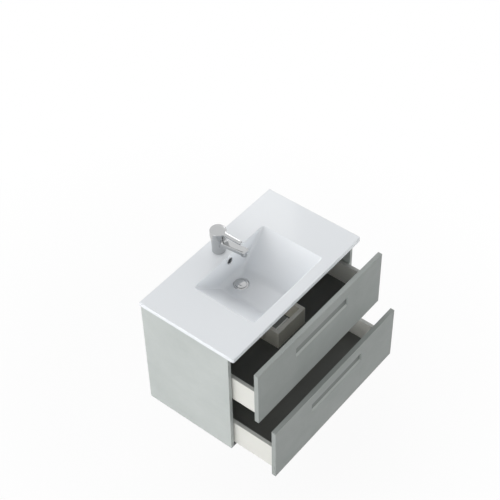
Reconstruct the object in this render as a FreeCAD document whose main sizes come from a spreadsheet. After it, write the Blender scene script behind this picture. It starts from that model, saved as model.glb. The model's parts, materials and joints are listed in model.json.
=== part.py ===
"""Wall-hung vanity unit with a washbasin top, a single-lever tap and two drawers.

Millimetres. The front faces -Y, the wall is the plane y = 0 and +Z is up. The origin is the centre of the wall
plates' hole pattern, on the wall. Both drawers stand part open.
"""
import FreeCAD, Part
import Sketcher
import os
import re
from FreeCAD import Placement, Rotation, Vector

SIZES = {
    # Washbasin and its bowl
    "BasinWidth": 800,
    "BasinDepth": 460,
    "BasinEdge": 18,
    "BasinCorner": 8,
    "BasinArris": 3,
    "BasinSideOverhang": 6,
    "BasinFrontOverhang": 11,
    "BowlWidth": 430,
    "BowlFrontRim": 52,
    "BowlDepth": 128,
    "BowlFloorWidth": 126,
    "BowlBackSlope": 7,
    "BowlFrontSlope": 26,
    "BowlFloorSlope": 2.5,
    "BowlWall": 11,
    "BowlCrease": 12,
    "BowlFloorRadius": 24,
    "BowlSideRadius": 70,
    # Overflow and its duct down to the waste
    "OverflowDrop": 28,
    "OverflowRadius": 13,
    "OverflowRimRadius": 15.5,
    "OverflowRimThickness": 2,
    "OverflowBoreRadius": 11,
    "OverflowDepth": 6,
    "DuctWidth": 46,
    "DuctWall": 5,
    "DuctBowlWall": 6,
    "DuctHeight": 10,
    "DuctHeadroom": 4,
    # Waste and plug
    "WasteFromBack": 57,
    "WasteSeatSink": 3.5,
    "WasteFlangeRadius": 31,
    "WasteFlangeThickness": 3,
    "WasteSeatClearance": 1.5,
    "WasteGasketThickness": 1.5,
    "WasteTubeRadius": 20.6,
    "WasteTubeWall": 3,
    "WasteTubeLength": 80,
    "WasteHoleClearance": 2.4,
    "WasteBossRadius": 40,
    "WasteBossHeight": 24,
    "WasteGuideDrop": 22,
    "WasteGuideHeight": 8,
    "WasteGuideWidth": 5,
    "WasteGuideRadius": 7,
    "WasteSealThickness": 4,
    "WasteSealRadius": 28,
    "WasteNutRadius": 31,
    "WasteNutHeight": 10,
    "PlugRadius": 24,
    "PlugEdge": 2.5,
    "PlugCrown": 6,
    "PlugStemRadius": 4,
    "PlugStemLength": 40,
    "RunningFit": 0.05,
    "SlidingGap": 0.3,
    # Bottle trap
    "TrapPipeRadius": 16,
    "TrapPipeWall": 1.5,
    "TrapInletLength": 96,
    "TrapCollarThickness": 3,
    "TrapNutWall": 5,
    "TrapNutGrip": 14,
    "TrapNutBase": 4,
    "TrapHeadDrop": 26,
    "TrapHeadRadius": 31,
    "TrapWall": 3,
    "TrapCupRadius": 33,
    "TrapCupHeight": 44,
    "TrapCupOverlap": 12,
    "TrapOutletMargin": 1,
    "TrapSocketMargin": 3,
    "TrapSocketLength": 14,
    "TrapWallEntry": 35,
    "TrapBead": 2,
    "TrapBeadWidth": 3,
    # Tap
    "TapSetback": 60,
    "TapToBowl": 53,
    "TapHoleRadius": 17.5,
    "TapHoleClearance": 1,
    "TapShankRise": 1,
    "TapSealThickness": 1.5,
    "TapSealInset": 2,
    "TapBaseRadius": 28,
    "TapWaistRadius": 28.5,
    "TapWaistHeight": 40,
    "TapRimRadius": 34,
    "TapRimHeight": 86,
    "TapPivotDrop": 29.5,
    "TapThroatRadius": 20.6,
    "CartridgeRadius": 17.5,
    "CartridgeHeight": 34,
    "CartridgeFloor": 14,
    "CarrierRadius": 12,
    "CarrierThickness": 3.5,
    "CarrierEar": 3,
    "CarrierEarDepth": 10,
    "LeverPinRadius": 2,
    "LeverEyeRadius": 4,
    "LeverEyeWidth": 13,
    "LeverStemRadius": 4.5,
    "LeverStemSocket": 7,
    "LeverCapHeight": 27,
    "LeverCapTaper": 0.5,
    "LeverCapShoulder": 3.5,
    "LeverCapCrown": 1,
    "LeverReach": 115,
    "LeverWidth": 18,
    "LeverThickness": 9,
    "LeverTopDrop": 1,
    "LeverRadius": 3,
    "SpoutRootHeight": 52,
    "SpoutRise": 8,
    "SpoutReach": 142,
    "SpoutWidth": 34,
    "SpoutThickness": 20,
    "SpoutRadius": 6,
    "SpoutWaterway": 6,
    "AeratorInset": 0.5,
    "AeratorRadius": 10.5,
    "AeratorBossWall": 2,
    "AeratorDrop": 9,
    "AeratorHeight": 9,
    "AeratorLip": 2,
    "InletSpacing": 13,
    "InletRadius": 4.5,
    "InletDepth": 12,
    "InletPassage": 4,
    "TapStudOffset": 11,
    "TapStudRadius": 4,
    "TapStudDepth": 10,
    "TapStudLength": 55,
    "TapPlateRadius": 23,
    "TapPlateThickness": 3,
    "TapPlateRear": 12,
    "TapPlateClearance": 2,
    "TapPlateSlot": 26,
    "TapPlateSlotGap": 0.5,
    "TapNutRadius": 7.5,
    "TapNutHeight": 8,
    # Carcass
    "HangerDrop": 80,
    "CarcassHeight": 560,
    "PanelThickness": 16,
    "RailSetback": 25,
    "TopRailHeight": 120,
    "LowerRailHeight": 100,
    "CamRadius": 7.5,
    "CamDepth": 12.5,
    "CamInset": 24,
    "CamBoltRadius": 3.5,
    "CamThreadRadius": 2.5,
    "CamThreadDepth": 11,
    "BottomCamFront": 90,
    "BottomCamRear": 90,
    "BumperRadius": 5,
    "BumperDrop": 40,
    # Hangers and wall plates
    "HangerInset": 16,
    "WallPlateWidth": 28,
    "WallPlateThickness": 2.5,
    "WallPlateTop": 20,
    "WallPlateBottom": 30,
    "WallHoleSpacing": 32,
    "WallHoleRadius": 3.5,
    "WallPlateStandoff": 4,
    "WallPlateLip": 12,
    "HookThickness": 5,
    "HookLeg": 3,
    "HookHeight": 10,
    "HookSlotClearance": 2,
    "HangerLength": 54,
    "HangerWidth": 30,
    "HangerHeight": 44,
    "HangerScrewRadius": 4.5,
    "HangerScrewHead": 3,
    "HangerScrewSpacing": 22,
    # Drawer fronts
    "FrontThickness": 19,
    "FrontGap": 2,
    "FrontTopGap": 3.5,
    "FrontSpacing": 3.5,
    "FrontReveal": 5,
    "FrontInset": 1,
    "FrontArris": 0.8,
    "GrooveDrop": 53,
    "GrooveHeight": 51,
    "GrooveLength": 330,
    "GrooveDepth": 13,
    "GrooveLip": 4,
    "GrooveUndercut": 5,
    "GrooveRise": 20,
    "GrooveRampDepth": 8,
    "GrooveRampRise": 5.5,
    # Drawer boxes
    "DrawerSideThickness": 15,
    "DrawerSideGap": 5,
    "DrawerSideDrop": 131,
    "DrawerSideLift": 17,
    "DrawerRearSpace": 60,
    "DrawerBackThickness": 12,
    "DrawerBottomThickness": 8,
    "DrawerBottomRaise": 14,
    "DrawerCamInset": 24,
    "DrawerCamMargin": 30,
    "RecessWidth": 140,
    "RecessWall": 16,
    "RecessFront": 288,
    "RecessDrop": 16,
    "RecessArris": 1.5,
    "RecessRadius": 8,
    # Runners
    "RunnerSheet": 1.5,
    "RunnerDrop": 6,
    "RunnerInset": 24,
    "RunnerWidth": 20,
    "RunnerLip": 4,
    "RunnerBarFlange": 2.5,
    "RunnerBarWeb": 7,
    "RunnerSideGap": 0.5,
    "RunnerFlangeHeight": 24,
    "RunnerSetback": 4,
    "RunnerRearSpace": 64,
    "RunnerScrewRadius": 2,
    "RunnerScrewHead": 4,
    "RunnerScrewLength": 12,
    "RunnerScrewMargin": 40,
    # Photographed opening of each drawer
    "UpperOpening": 120,
    "LowerOpening": 200,
}

doc = FreeCAD.newDocument("vanity")
dims = doc.addObject("Spreadsheet::Sheet", "dims")
for row, (alias, size) in enumerate(SIZES.items(), start=1):
    dims.set(f"A{row}", alias)
    dims.set(f"B{row}", str(size))
    dims.setAlias(f"B{row}", alias)
doc.recompute()

# Levels and planes that several sub-parts share
DECK = "(HangerDrop + BasinEdge)"
CARCASS_TOP = "HangerDrop"
CARCASS_BOTTOM = "(HangerDrop - CarcassHeight)"
FLOOR_TOP = f"({CARCASS_BOTTOM} + PanelThickness)"
CARCASS_HALF = "(BasinWidth / 2 - BasinSideOverhang)"
INSIDE_HALF = f"({CARCASS_HALF} - PanelThickness)"
CARCASS_DEPTH = "(BasinDepth - BasinFrontOverhang - FrontThickness - FrontGap)"
RAIL_FRONT = "(RailSetback + PanelThickness)"
BOWL_BACK = "(TapSetback + TapToBowl)"
BOWL_FRONT = "(BasinDepth - BowlFrontRim)"
WASTE_Y = f"(-{BOWL_BACK} - WasteFromBack)"
WASTE_SEAT = f"({DECK} - BowlDepth + WasteFromBack * tan(BowlFloorSlope) - WasteSeatSink)"
BOSS_BOTTOM = f"({WASTE_SEAT} - WasteBossHeight)"
WASTE_END = f"({WASTE_SEAT} - WasteTubeLength)"
DUCT_BACK = f"(-{BOWL_BACK} + TapToBowl - TapPlateRadius - TapPlateClearance)"
TAP_Y = "(-TapSetback)"
TAP_RIM = f"({DECK} + TapRimHeight)"
TAP_PIVOT = f"({TAP_RIM} - TapPivotDrop)"
TAP_DOME = "sqrt(TapRimRadius ^ 2 + TapPivotDrop ^ 2)"
FRONT_HEIGHT = "((CarcassHeight - FrontTopGap - FrontSpacing - FrontReveal) / 2)"
FRONT_BACK = f"({CARCASS_DEPTH} + FrontGap)"
SIDE_OUT = f"({INSIDE_HALF} - DrawerSideGap)"
SIDE_IN = f"({SIDE_OUT} - DrawerSideThickness)"
HANGER_X = f"({INSIDE_HALF} - HangerInset)"
RUNNER_LENGTH = f"({CARCASS_DEPTH} - RunnerSetback - RunnerRearSpace)"
RUNNER_LIPS = "(2 * RunnerSheet + 2 * SlidingGap + RunnerBarFlange)"
RUNNER_HEIGHT = "(RunnerDrop + DrawerBottomRaise)"

SIDES = {"left": -1, "right": 1}
DRAWERS = {
    "upper": {"top": "(HangerDrop - FrontTopGap)", "open": "UpperOpening"},
    "lower": {"top": f"(HangerDrop - FrontTopGap - {FRONT_HEIGHT} - FrontSpacing)", "open": "LowerOpening"},
}

pieces = {}


def bound(text):
    """Expression with every size read from the sheet."""
    return re.sub(r"\b[A-Z]\w*", lambda word: "dims." + word.group(0), text)


def value(text):
    """Number that an expression gives."""
    return float(dims.evalExpression(bound(text)))


def bind(item, sizes):
    """Tie an object's properties to expressions."""
    for path, text in sizes.items():
        item.setExpression(path, bound(text))


def place(item, x="0", y="0", z="0", tilt=None):
    """Put an object at a point, turned about X by a tilt in degrees."""
    if tilt is not None:
        item.Placement = Placement(Vector(), Rotation(Vector(1, 0, 0), value(tilt)))
        bind(item, {"Placement.Rotation.Angle": tilt})
    bind(item, {"Placement.Base.x": x, "Placement.Base.y": y, "Placement.Base.z": z})
    return item


def keep(node, item):
    """Name a finished sub-part."""
    item.Label = node
    pieces[node] = item
    return item


def box(name, x, y, z):
    """Block between a low and a high expression on each axis."""
    item = doc.addObject("Part::Box", name)
    spans = {"Length": x, "Width": y, "Height": z}
    bind(item, {prop: f"({high}) - ({low})" for prop, (low, high) in spans.items()})
    return place(item, x[0], y[0], z[0])


def rod(name, axis, radius, low, high, x="0", y="0", z="0"):
    """Cylinder along an axis between two expressions; the other two coordinates place it."""
    item = doc.addObject("Part::Cylinder", name)
    bind(item, {"Radius": radius, "Height": f"({high}) - ({low})"})
    turns = {"x": Rotation(Vector(0, 1, 0), 90), "y": Rotation(Vector(1, 0, 0), -90), "z": Rotation()}
    item.Placement = Placement(Vector(), turns[axis])
    spot = {"x": x, "y": y, "z": z}
    spot[axis] = low
    return place(item, **spot)


def ball(name, radius, x, y, z):
    """Sphere at a point."""
    item = doc.addObject("Part::Sphere", name)
    bind(item, {"Radius": radius})
    return place(item, x, y, z)


def prism(name, radius, low, high, x, y):
    """Upright hexagonal prism."""
    item = doc.addObject("Part::Prism", name)
    item.Polygon = 6
    bind(item, {"Circumradius": radius, "Height": f"({high}) - ({low})"})
    return place(item, x, y, low)


def joined(name, items):
    """Union of solids."""
    item = doc.addObject("Part::MultiFuse", name)
    item.Shapes = items
    item.Refine = True
    return item


def group(name, items):
    """Separate solids kept together."""
    item = doc.addObject("Part::Compound", name)
    item.Links = items
    return item


def cut(name, base, tools):
    """Base with every tool taken away."""
    item = doc.addObject("Part::Cut", name)
    item.Base = base
    item.Tool = tools[0] if len(tools) == 1 else group(name + "_tools", tools)
    item.Refine = True
    return item


def common(name, first, second):
    """What two solids share."""
    item = doc.addObject("Part::Common", name)
    item.Base = first
    item.Tool = second
    return item


def rounded(name, base, radius, wanted):
    """Base with the edges that a test picks rounded."""
    doc.recompute()
    size = value(radius)
    item = doc.addObject("Part::Fillet", name)
    item.Base = base
    item.Edges = [(index, size, size) for index, edge in enumerate(base.Shape.Edges, 1) if wanted(edge)]
    return item


def along(edge, axis):
    """Whether a straight edge runs along an axis."""
    if len(edge.Vertexes) < 2:
        return False
    ends = edge.Vertexes[1].Point - edge.Vertexes[0].Point
    return ends.Length > 0 and abs(abs(ends[axis]) - ends.Length) < 1e-3 * ends.Length


def outline(body, plane, points):
    """Closed sketch of straight lines through points given as pairs of expressions."""
    sketch = body.newObject("Sketcher::SketchObject", body.Name + "_section")
    support = next(item for item in body.Origin.OriginFeatures if item.Role == plane)
    sketch.AttachmentSupport = [(support, "")]
    sketch.MapMode = "FlatFace"
    corners = [Vector(value(first), value(second), 0) for first, second in points]
    count = len(corners)
    for index in range(count):
        sketch.addGeometry(Part.LineSegment(corners[index], corners[(index + 1) % count]))
    for index in range(count):
        sketch.addConstraint(Sketcher.Constraint("Coincident", index, 2, (index + 1) % count, 1))
    for index, (first, second) in enumerate(points):
        for kind, axis, text in (("DistanceX", -2, first), ("DistanceY", -1, second)):
            if text == "0":
                sketch.addConstraint(Sketcher.Constraint("PointOnObject", index, 1, axis))
                continue
            number = sketch.addConstraint(Sketcher.Constraint(kind, -1, 1, index, 1, value(text)))
            sketch.setExpression(f"Constraints[{number}]", bound(text))
    return sketch


def turned(name, points, x="0", y="0", z="0", tilt=None):
    """Solid of revolution about its own Z axis from radius and height expressions."""
    body = doc.addObject("PartDesign::Body", name)
    sketch = outline(body, "XZ_Plane", points)
    turn = body.newObject("PartDesign::Revolution", name + "_turn")
    turn.Profile = sketch
    turn.ReferenceAxis = (sketch, ["V_Axis"])
    turn.Angle = 360
    return place(body, x, y, z, tilt)


def padded(name, plane, points, length, x="0", y="0", z="0"):
    """Prism of a section: XZ sections run towards -Y, YZ sections towards +X."""
    body = doc.addObject("PartDesign::Body", name)
    sketch = outline(body, plane, points)
    pad = body.newObject("PartDesign::Pad", name + "_pad")
    pad.Profile = sketch
    bind(pad, {"Length": length})
    return place(body, x, y, z)


def ring(name, inner, outer, low, high, x="0", y="0", z="0"):
    """Upright tube or washer."""
    points = [(inner, low), (outer, low), (outer, high), (inner, high)]
    return turned(name, points, x, y, z)


def span(sign, inner, outer):
    """Low and high X of a stretch between two distances from the middle plane."""
    return (inner, outer) if sign > 0 else (f"-({outer})", f"-({inner})")


def bowl_form(name, grow):
    """Tapered bowl with a floor that falls to the back, grown outwards by a wall."""
    wedge = doc.addObject("Part::Wedge", name + "_taper")
    wedge.Placement = Placement(Vector(), Rotation(Vector(1, 0, 0), -90))
    bind(wedge, {
        "Xmin": f"-BowlWidth / 2 - {grow}",
        "Xmax": f"BowlWidth / 2 + {grow}",
        "Zmin": f"-{BOWL_FRONT} - {grow}",
        "Zmax": f"-{BOWL_BACK} + {grow}",
        "Ymin": "0",
        "Ymax": f"BowlDepth + {grow}",
        "X2min": f"-BowlFloorWidth / 2 - {grow}",
        "X2max": f"BowlFloorWidth / 2 + {grow}",
        "Z2min": f"-{BOWL_FRONT} + BowlFrontSlope - {grow}",
        "Z2max": f"-{BOWL_BACK} - BowlBackSlope + {grow}",
    })
    place(wedge, z=DECK)
    floor = doc.addObject("Part::Box", name + "_floor")
    bind(floor, {"Length": "2 * BowlWidth", "Width": "2 * BasinDepth", "Height": "BowlDepth"})
    place(floor, "-BowlWidth", f"-{BOWL_BACK} + {grow}", f"{DECK} - BowlDepth - {grow}", "180 - BowlFloorSlope")
    return cut(name, wedge, [floor])


def bowl_cavity():
    """Space of the bowl: sharp creases at its corners, softer floor edges and wide curves up to its sides."""
    space = bowl_form("bowl_space", "0")
    doc.recompute()
    deck = value(DECK)
    radii = {"crease": value("BowlCrease"), "floor": value("BowlFloorRadius"), "side": value("BowlSideRadius")}
    edges = []
    for index, edge in enumerate(space.Shape.Edges, 1):
        heights = [vertex.Z for vertex in edge.Vertexes]
        if max(heights) > deck - 1 and min(heights) > deck - 1:
            continue
        if max(heights) > deck - 1:
            radius = radii["crease"]
        elif along(edge, 0):
            radius = radii["floor"]
        else:
            radius = radii["side"]
        edges.append((index, radius, radius))
    cavity = doc.addObject("Part::Fillet", "bowl_cavity")
    cavity.Base = space
    cavity.Edges = sorted(edges, key=lambda entry: entry[1])
    return cavity


def washbasin():
    """White top with its bowl, overflow duct, waste boss and tap hole."""
    slab = box("basin_slab", ("-BasinWidth / 2", "BasinWidth / 2"), ("-BasinDepth", "0"), (CARCASS_TOP, DECK))
    front = -value("BasinDepth")
    corners = rounded("basin_corners", slab, "BasinCorner",
                      lambda edge: along(edge, 2) and abs(edge.Vertexes[0].Y - front) < 1e-3)
    shell = bowl_form("bowl_shell", "BowlWall")
    cavity = bowl_cavity()
    boss = rod("waste_boss", "z", "WasteBossRadius", BOSS_BOTTOM, WASTE_SEAT, y=WASTE_Y)
    half = "DuctWidth / 2"
    duct = box("duct", (f"-{half}", half), (f"-{BOWL_BACK} - BowlBackSlope", DUCT_BACK), (BOSS_BOTTOM, CARCASS_TOP))
    run = box("duct_run", (f"-{half}", half), (WASTE_Y, DUCT_BACK), (BOSS_BOTTOM, WASTE_SEAT))
    solid = joined("basin_solid", [corners, shell, boss, duct, run])
    bore = "DuctWidth / 2 - DuctWall"
    duct_floor = f"({BOSS_BOTTOM} + DuctWall)"
    overflow = f"({DECK} - OverflowDrop)"
    duct_space = box("duct_space", (f"-({bore})", bore), (f"-{BOWL_BACK} + DuctBowlWall", f"{DUCT_BACK} - DuctWall"),
                     (duct_floor, f"{overflow} + OverflowRadius + DuctHeadroom"))
    run_space = box("run_space", (f"-({bore})", bore), (WASTE_Y, f"{DUCT_BACK} - DuctWall"),
                    (duct_floor, f"{duct_floor} + DuctHeight"))
    hole = rod("waste_hole", "z", "WasteTubeRadius + WasteHoleClearance", BOSS_BOTTOM, DECK, y=WASTE_Y)
    seat = rod("waste_seat", "z", "WasteFlangeRadius + WasteSeatClearance", WASTE_SEAT, DECK, y=WASTE_Y)
    tap_hole = rod("tap_hole", "z", "TapHoleRadius", CARCASS_TOP, DECK, y=TAP_Y)
    mouth = overflow_tool("overflow_mouth", "OverflowRadius", "-BowlWall", "BowlWall")
    hollow = cut("basin_hollow", solid, [cavity, duct_space, run_space, hole, seat, tap_hole, mouth])
    top_edges = rounded("basin_edges", hollow, "BasinArris", outer_top_edge)
    keep("washbasin", top_edges)


def outer_top_edge(edge):
    """Whether an edge lies on the deck's rim or the bowl's rim, clear of the tap hole and the wall."""
    deck = value(DECK)
    if any(abs(vertex.Z - deck) > 1e-3 for vertex in edge.Vertexes) or len(edge.Vertexes) < 2:
        return False
    at_wall = all(abs(vertex.Y) < 1e-3 for vertex in edge.Vertexes)
    return not at_wall


def overflow_tool(name, radius, low, high):
    """Rod square to the bowl's back wall at the overflow."""
    item = doc.addObject("Part::Cylinder", name)
    bind(item, {"Radius": radius, "Height": f"({high}) - ({low})"})
    lean = "atan(BowlBackSlope / BowlDepth)"
    y = f"-{BOWL_BACK} - OverflowDrop * BowlBackSlope / BowlDepth - ({low}) * cos({lean})"
    z = f"{DECK} - OverflowDrop + ({low}) * sin({lean})"
    return place(item, "0", y, z, f"90 deg - {lean}")


def overflow_ring():
    """Bright ring pressed into the overflow."""
    points = [
        ("OverflowBoreRadius", "-OverflowDepth"),
        ("OverflowRadius", "-OverflowDepth"),
        ("OverflowRadius", "0"),
        ("OverflowRimRadius", "0"),
        ("OverflowRimRadius - OverflowRimThickness / 2", "OverflowRimThickness"),
        ("OverflowBoreRadius + OverflowRimThickness / 2", "OverflowRimThickness"),
        ("OverflowBoreRadius", "OverflowRimThickness / 2"),
    ]
    lean = "atan(BowlBackSlope / BowlDepth)"
    y = f"-{BOWL_BACK} - OverflowDrop * BowlBackSlope / BowlDepth"
    keep("overflow_ring", turned("overflow_trim", points, "0", y, f"{DECK} - OverflowDrop", f"90 deg - {lean}"))


def waste():
    """Flanged waste tube with its guide, gasket, back seal and back nut."""
    inner = "(WasteTubeRadius - WasteTubeWall)"
    flange_low = f"{WASTE_SEAT} + WasteGasketThickness"
    points = [
        (inner, "-WasteTubeLength"),
        ("WasteTubeRadius", "-WasteTubeLength"),
        ("WasteTubeRadius", "WasteGasketThickness"),
        ("WasteFlangeRadius", "WasteGasketThickness"),
        ("WasteFlangeRadius - WasteFlangeThickness / 2", "WasteGasketThickness + WasteFlangeThickness"),
        (f"{inner} + WasteFlangeThickness", "WasteGasketThickness + WasteFlangeThickness"),
        (inner, "WasteGasketThickness"),
    ]
    tube = turned("waste_tube", points, y=WASTE_Y, z=WASTE_SEAT)
    guide_low = f"{WASTE_SEAT} - WasteGuideDrop"
    guide_high = f"{guide_low} + WasteGuideHeight"
    reach = "(WasteTubeRadius - WasteTubeWall / 2)"
    bar = "WasteGuideWidth / 2"
    across = box("guide_across", (f"-{reach}", reach), (f"{WASTE_Y} - {bar}", f"{WASTE_Y} + {bar}"),
                 (guide_low, guide_high))
    hub = rod("guide_hub", "z", "WasteGuideRadius", guide_low, guide_high, y=WASTE_Y)
    bore = rod("guide_bore", "z", "PlugStemRadius + RunningFit", guide_low, guide_high, y=WASTE_Y)
    slot_low = f"{BOSS_BOTTOM} + DuctWall"
    slot_half = "WasteTubeRadius / 2"
    slot = box("waste_slot", (f"-{slot_half}", slot_half),
               (f"{WASTE_Y} + WasteGuideRadius", f"{WASTE_Y} + 2 * WasteTubeRadius"),
               (slot_low, f"{slot_low} + DuctHeight"))
    body = joined("waste_solid", [tube, across, hub])
    keep("waste_body", cut("waste_drilled", body, [bore, slot]))
    gasket = ring("waste_gasket_ring", "WasteTubeRadius", "WasteFlangeRadius", "0", "WasteGasketThickness",
                  y=WASTE_Y, z=WASTE_SEAT)
    keep("waste_gasket", gasket)
    seal = ring("waste_seal_ring", "WasteTubeRadius", "WasteSealRadius", "-WasteSealThickness", "0",
                y=WASTE_Y, z=BOSS_BOTTOM)
    keep("waste_back_seal", seal)
    nut_top = f"{BOSS_BOTTOM} - WasteSealThickness"
    blank = prism("waste_nut_blank", "WasteNutRadius", f"{nut_top} - WasteNutHeight", nut_top, "0", WASTE_Y)
    thread = rod("waste_nut_thread", "z", "WasteTubeRadius", f"{nut_top} - WasteNutHeight", nut_top, y=WASTE_Y)
    keep("waste_back_nut", cut("waste_nut", blank, [thread]))
    stem_low = "-PlugStemLength"
    plug_points = [
        ("0", stem_low),
        ("PlugStemRadius", stem_low),
        ("PlugStemRadius", "SlidingGap"),
        ("PlugRadius - PlugEdge", "SlidingGap"),
        ("PlugRadius", "SlidingGap + PlugEdge / 2"),
        ("PlugRadius", "SlidingGap + PlugEdge"),
        ("PlugRadius * 0.8", "SlidingGap + PlugEdge + PlugCrown * 0.55"),
        ("PlugRadius * 0.45", "SlidingGap + PlugEdge + PlugCrown * 0.9"),
        ("0", "SlidingGap + PlugEdge + PlugCrown"),
    ]
    seat = f"{flange_low} + WasteFlangeThickness"
    keep("waste_plug", turned("plug", plug_points, y=WASTE_Y, z=seat))


def trap():
    """Bottle trap under the waste, with its outlet pipe into the wall."""
    bore = "(TrapPipeRadius - TrapPipeWall)"
    inlet_points = [
        (bore, "-TrapInletLength"),
        ("TrapPipeRadius", "-TrapInletLength"),
        ("TrapPipeRadius", "-TrapCollarThickness"),
        ("WasteTubeRadius", "-TrapCollarThickness"),
        ("WasteTubeRadius", "0"),
        (bore, "0"),
    ]
    keep("trap_inlet_pipe", turned("trap_inlet", inlet_points, y=WASTE_Y, z=WASTE_END))
    head_top = f"({WASTE_END} - TrapHeadDrop)"
    socket_radius = "(TrapPipeRadius + TrapWall)"
    outlet_z = f"({head_top} - {socket_radius} - TrapOutletMargin)"
    head_height = f"({head_top} - {outlet_z} + {socket_radius} + TrapSocketMargin + TrapCupOverlap)"
    head_bottom = f"({head_top} - {head_height})"
    head = ring("trap_head", "TrapHeadRadius - TrapWall", "TrapHeadRadius", f"-{head_height}", "-TrapWall",
                y=WASTE_Y, z=head_top)
    lid = ring("trap_lid", "TrapPipeRadius", "TrapHeadRadius", "-TrapWall", "0", y=WASTE_Y, z=head_top)
    wall_y = f"{WASTE_Y} + TrapHeadRadius"
    socket = rod("trap_socket", "y", socket_radius, f"{wall_y} - TrapWall * 2",
                 f"{wall_y} + TrapSocketLength", z=outlet_z)
    solid = joined("trap_casting", [head, lid, socket])
    socket_bore = rod("trap_socket_bore", "y", "TrapPipeRadius", wall_y, f"{wall_y} + TrapSocketLength", z=outlet_z)
    way = rod("trap_way", "y", bore, WASTE_Y, wall_y, z=outlet_z)
    keep("trap_body", cut("trap_bored", solid, [socket_bore, way]))
    cup_points = [
        ("0", "-TrapCupHeight"),
        ("TrapCupRadius - TrapWall", "-TrapCupHeight"),
        ("TrapCupRadius", "-TrapCupHeight + TrapWall"),
        ("TrapCupRadius + TrapWall", "0"),
        ("TrapCupRadius + TrapWall", "TrapCupOverlap"),
        ("TrapHeadRadius", "TrapCupOverlap"),
        ("TrapHeadRadius", "0"),
        ("TrapHeadRadius - TrapWall", "0"),
        ("TrapHeadRadius - TrapWall", "-TrapCupHeight + TrapWall"),
        ("0", "-TrapCupHeight + TrapWall"),
    ]
    keep("trap_cup", turned("trap_cup_turned", cup_points, y=WASTE_Y, z=head_bottom))
    pipe = rod("outlet_outside", "y", "TrapPipeRadius", wall_y, "TrapWallEntry", z=outlet_z)
    bead = rod("outlet_bead", "y", "TrapPipeRadius + TrapBead", "-TrapBeadWidth", "0", z=outlet_z)
    inside = rod("outlet_inside", "y", bore, wall_y, "TrapWallEntry", z=outlet_z)
    keep("trap_outlet_pipe", cut("outlet_pipe", joined("outlet_beaded", [pipe, bead]), [inside]))
    grip = "WasteTubeRadius + TrapNutWall"
    inlet_nut_points = [
        ("TrapPipeRadius", "-TrapCollarThickness - TrapNutBase"),
        (grip, "-TrapCollarThickness - TrapNutBase"),
        (grip, "TrapNutGrip"),
        ("WasteTubeRadius", "TrapNutGrip"),
        ("WasteTubeRadius", "-TrapCollarThickness"),
        ("TrapPipeRadius", "-TrapCollarThickness"),
    ]
    inlet_nut = turned("inlet_nut", inlet_nut_points, y=WASTE_Y, z=WASTE_END)
    socket_end = f"{wall_y} + TrapSocketLength"
    outlet_nut_points = [
        ("TrapPipeRadius", "0"),
        ("TrapPipeRadius + TrapWall + TrapNutWall", "0"),
        ("TrapPipeRadius + TrapWall + TrapNutWall", "TrapNutGrip - TrapNutBase"),
        ("TrapPipeRadius + TrapWall", "TrapNutGrip - TrapNutBase"),
        ("TrapPipeRadius + TrapWall", "TrapNutBase"),
        ("TrapPipeRadius", "TrapNutBase"),
    ]
    outlet_nut = turned("outlet_nut", outlet_nut_points, "0", f"{socket_end} + TrapNutBase", outlet_z, "90")
    keep("trap_nuts", group("trap_nut_pair", [inlet_nut, outlet_nut]))


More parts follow.
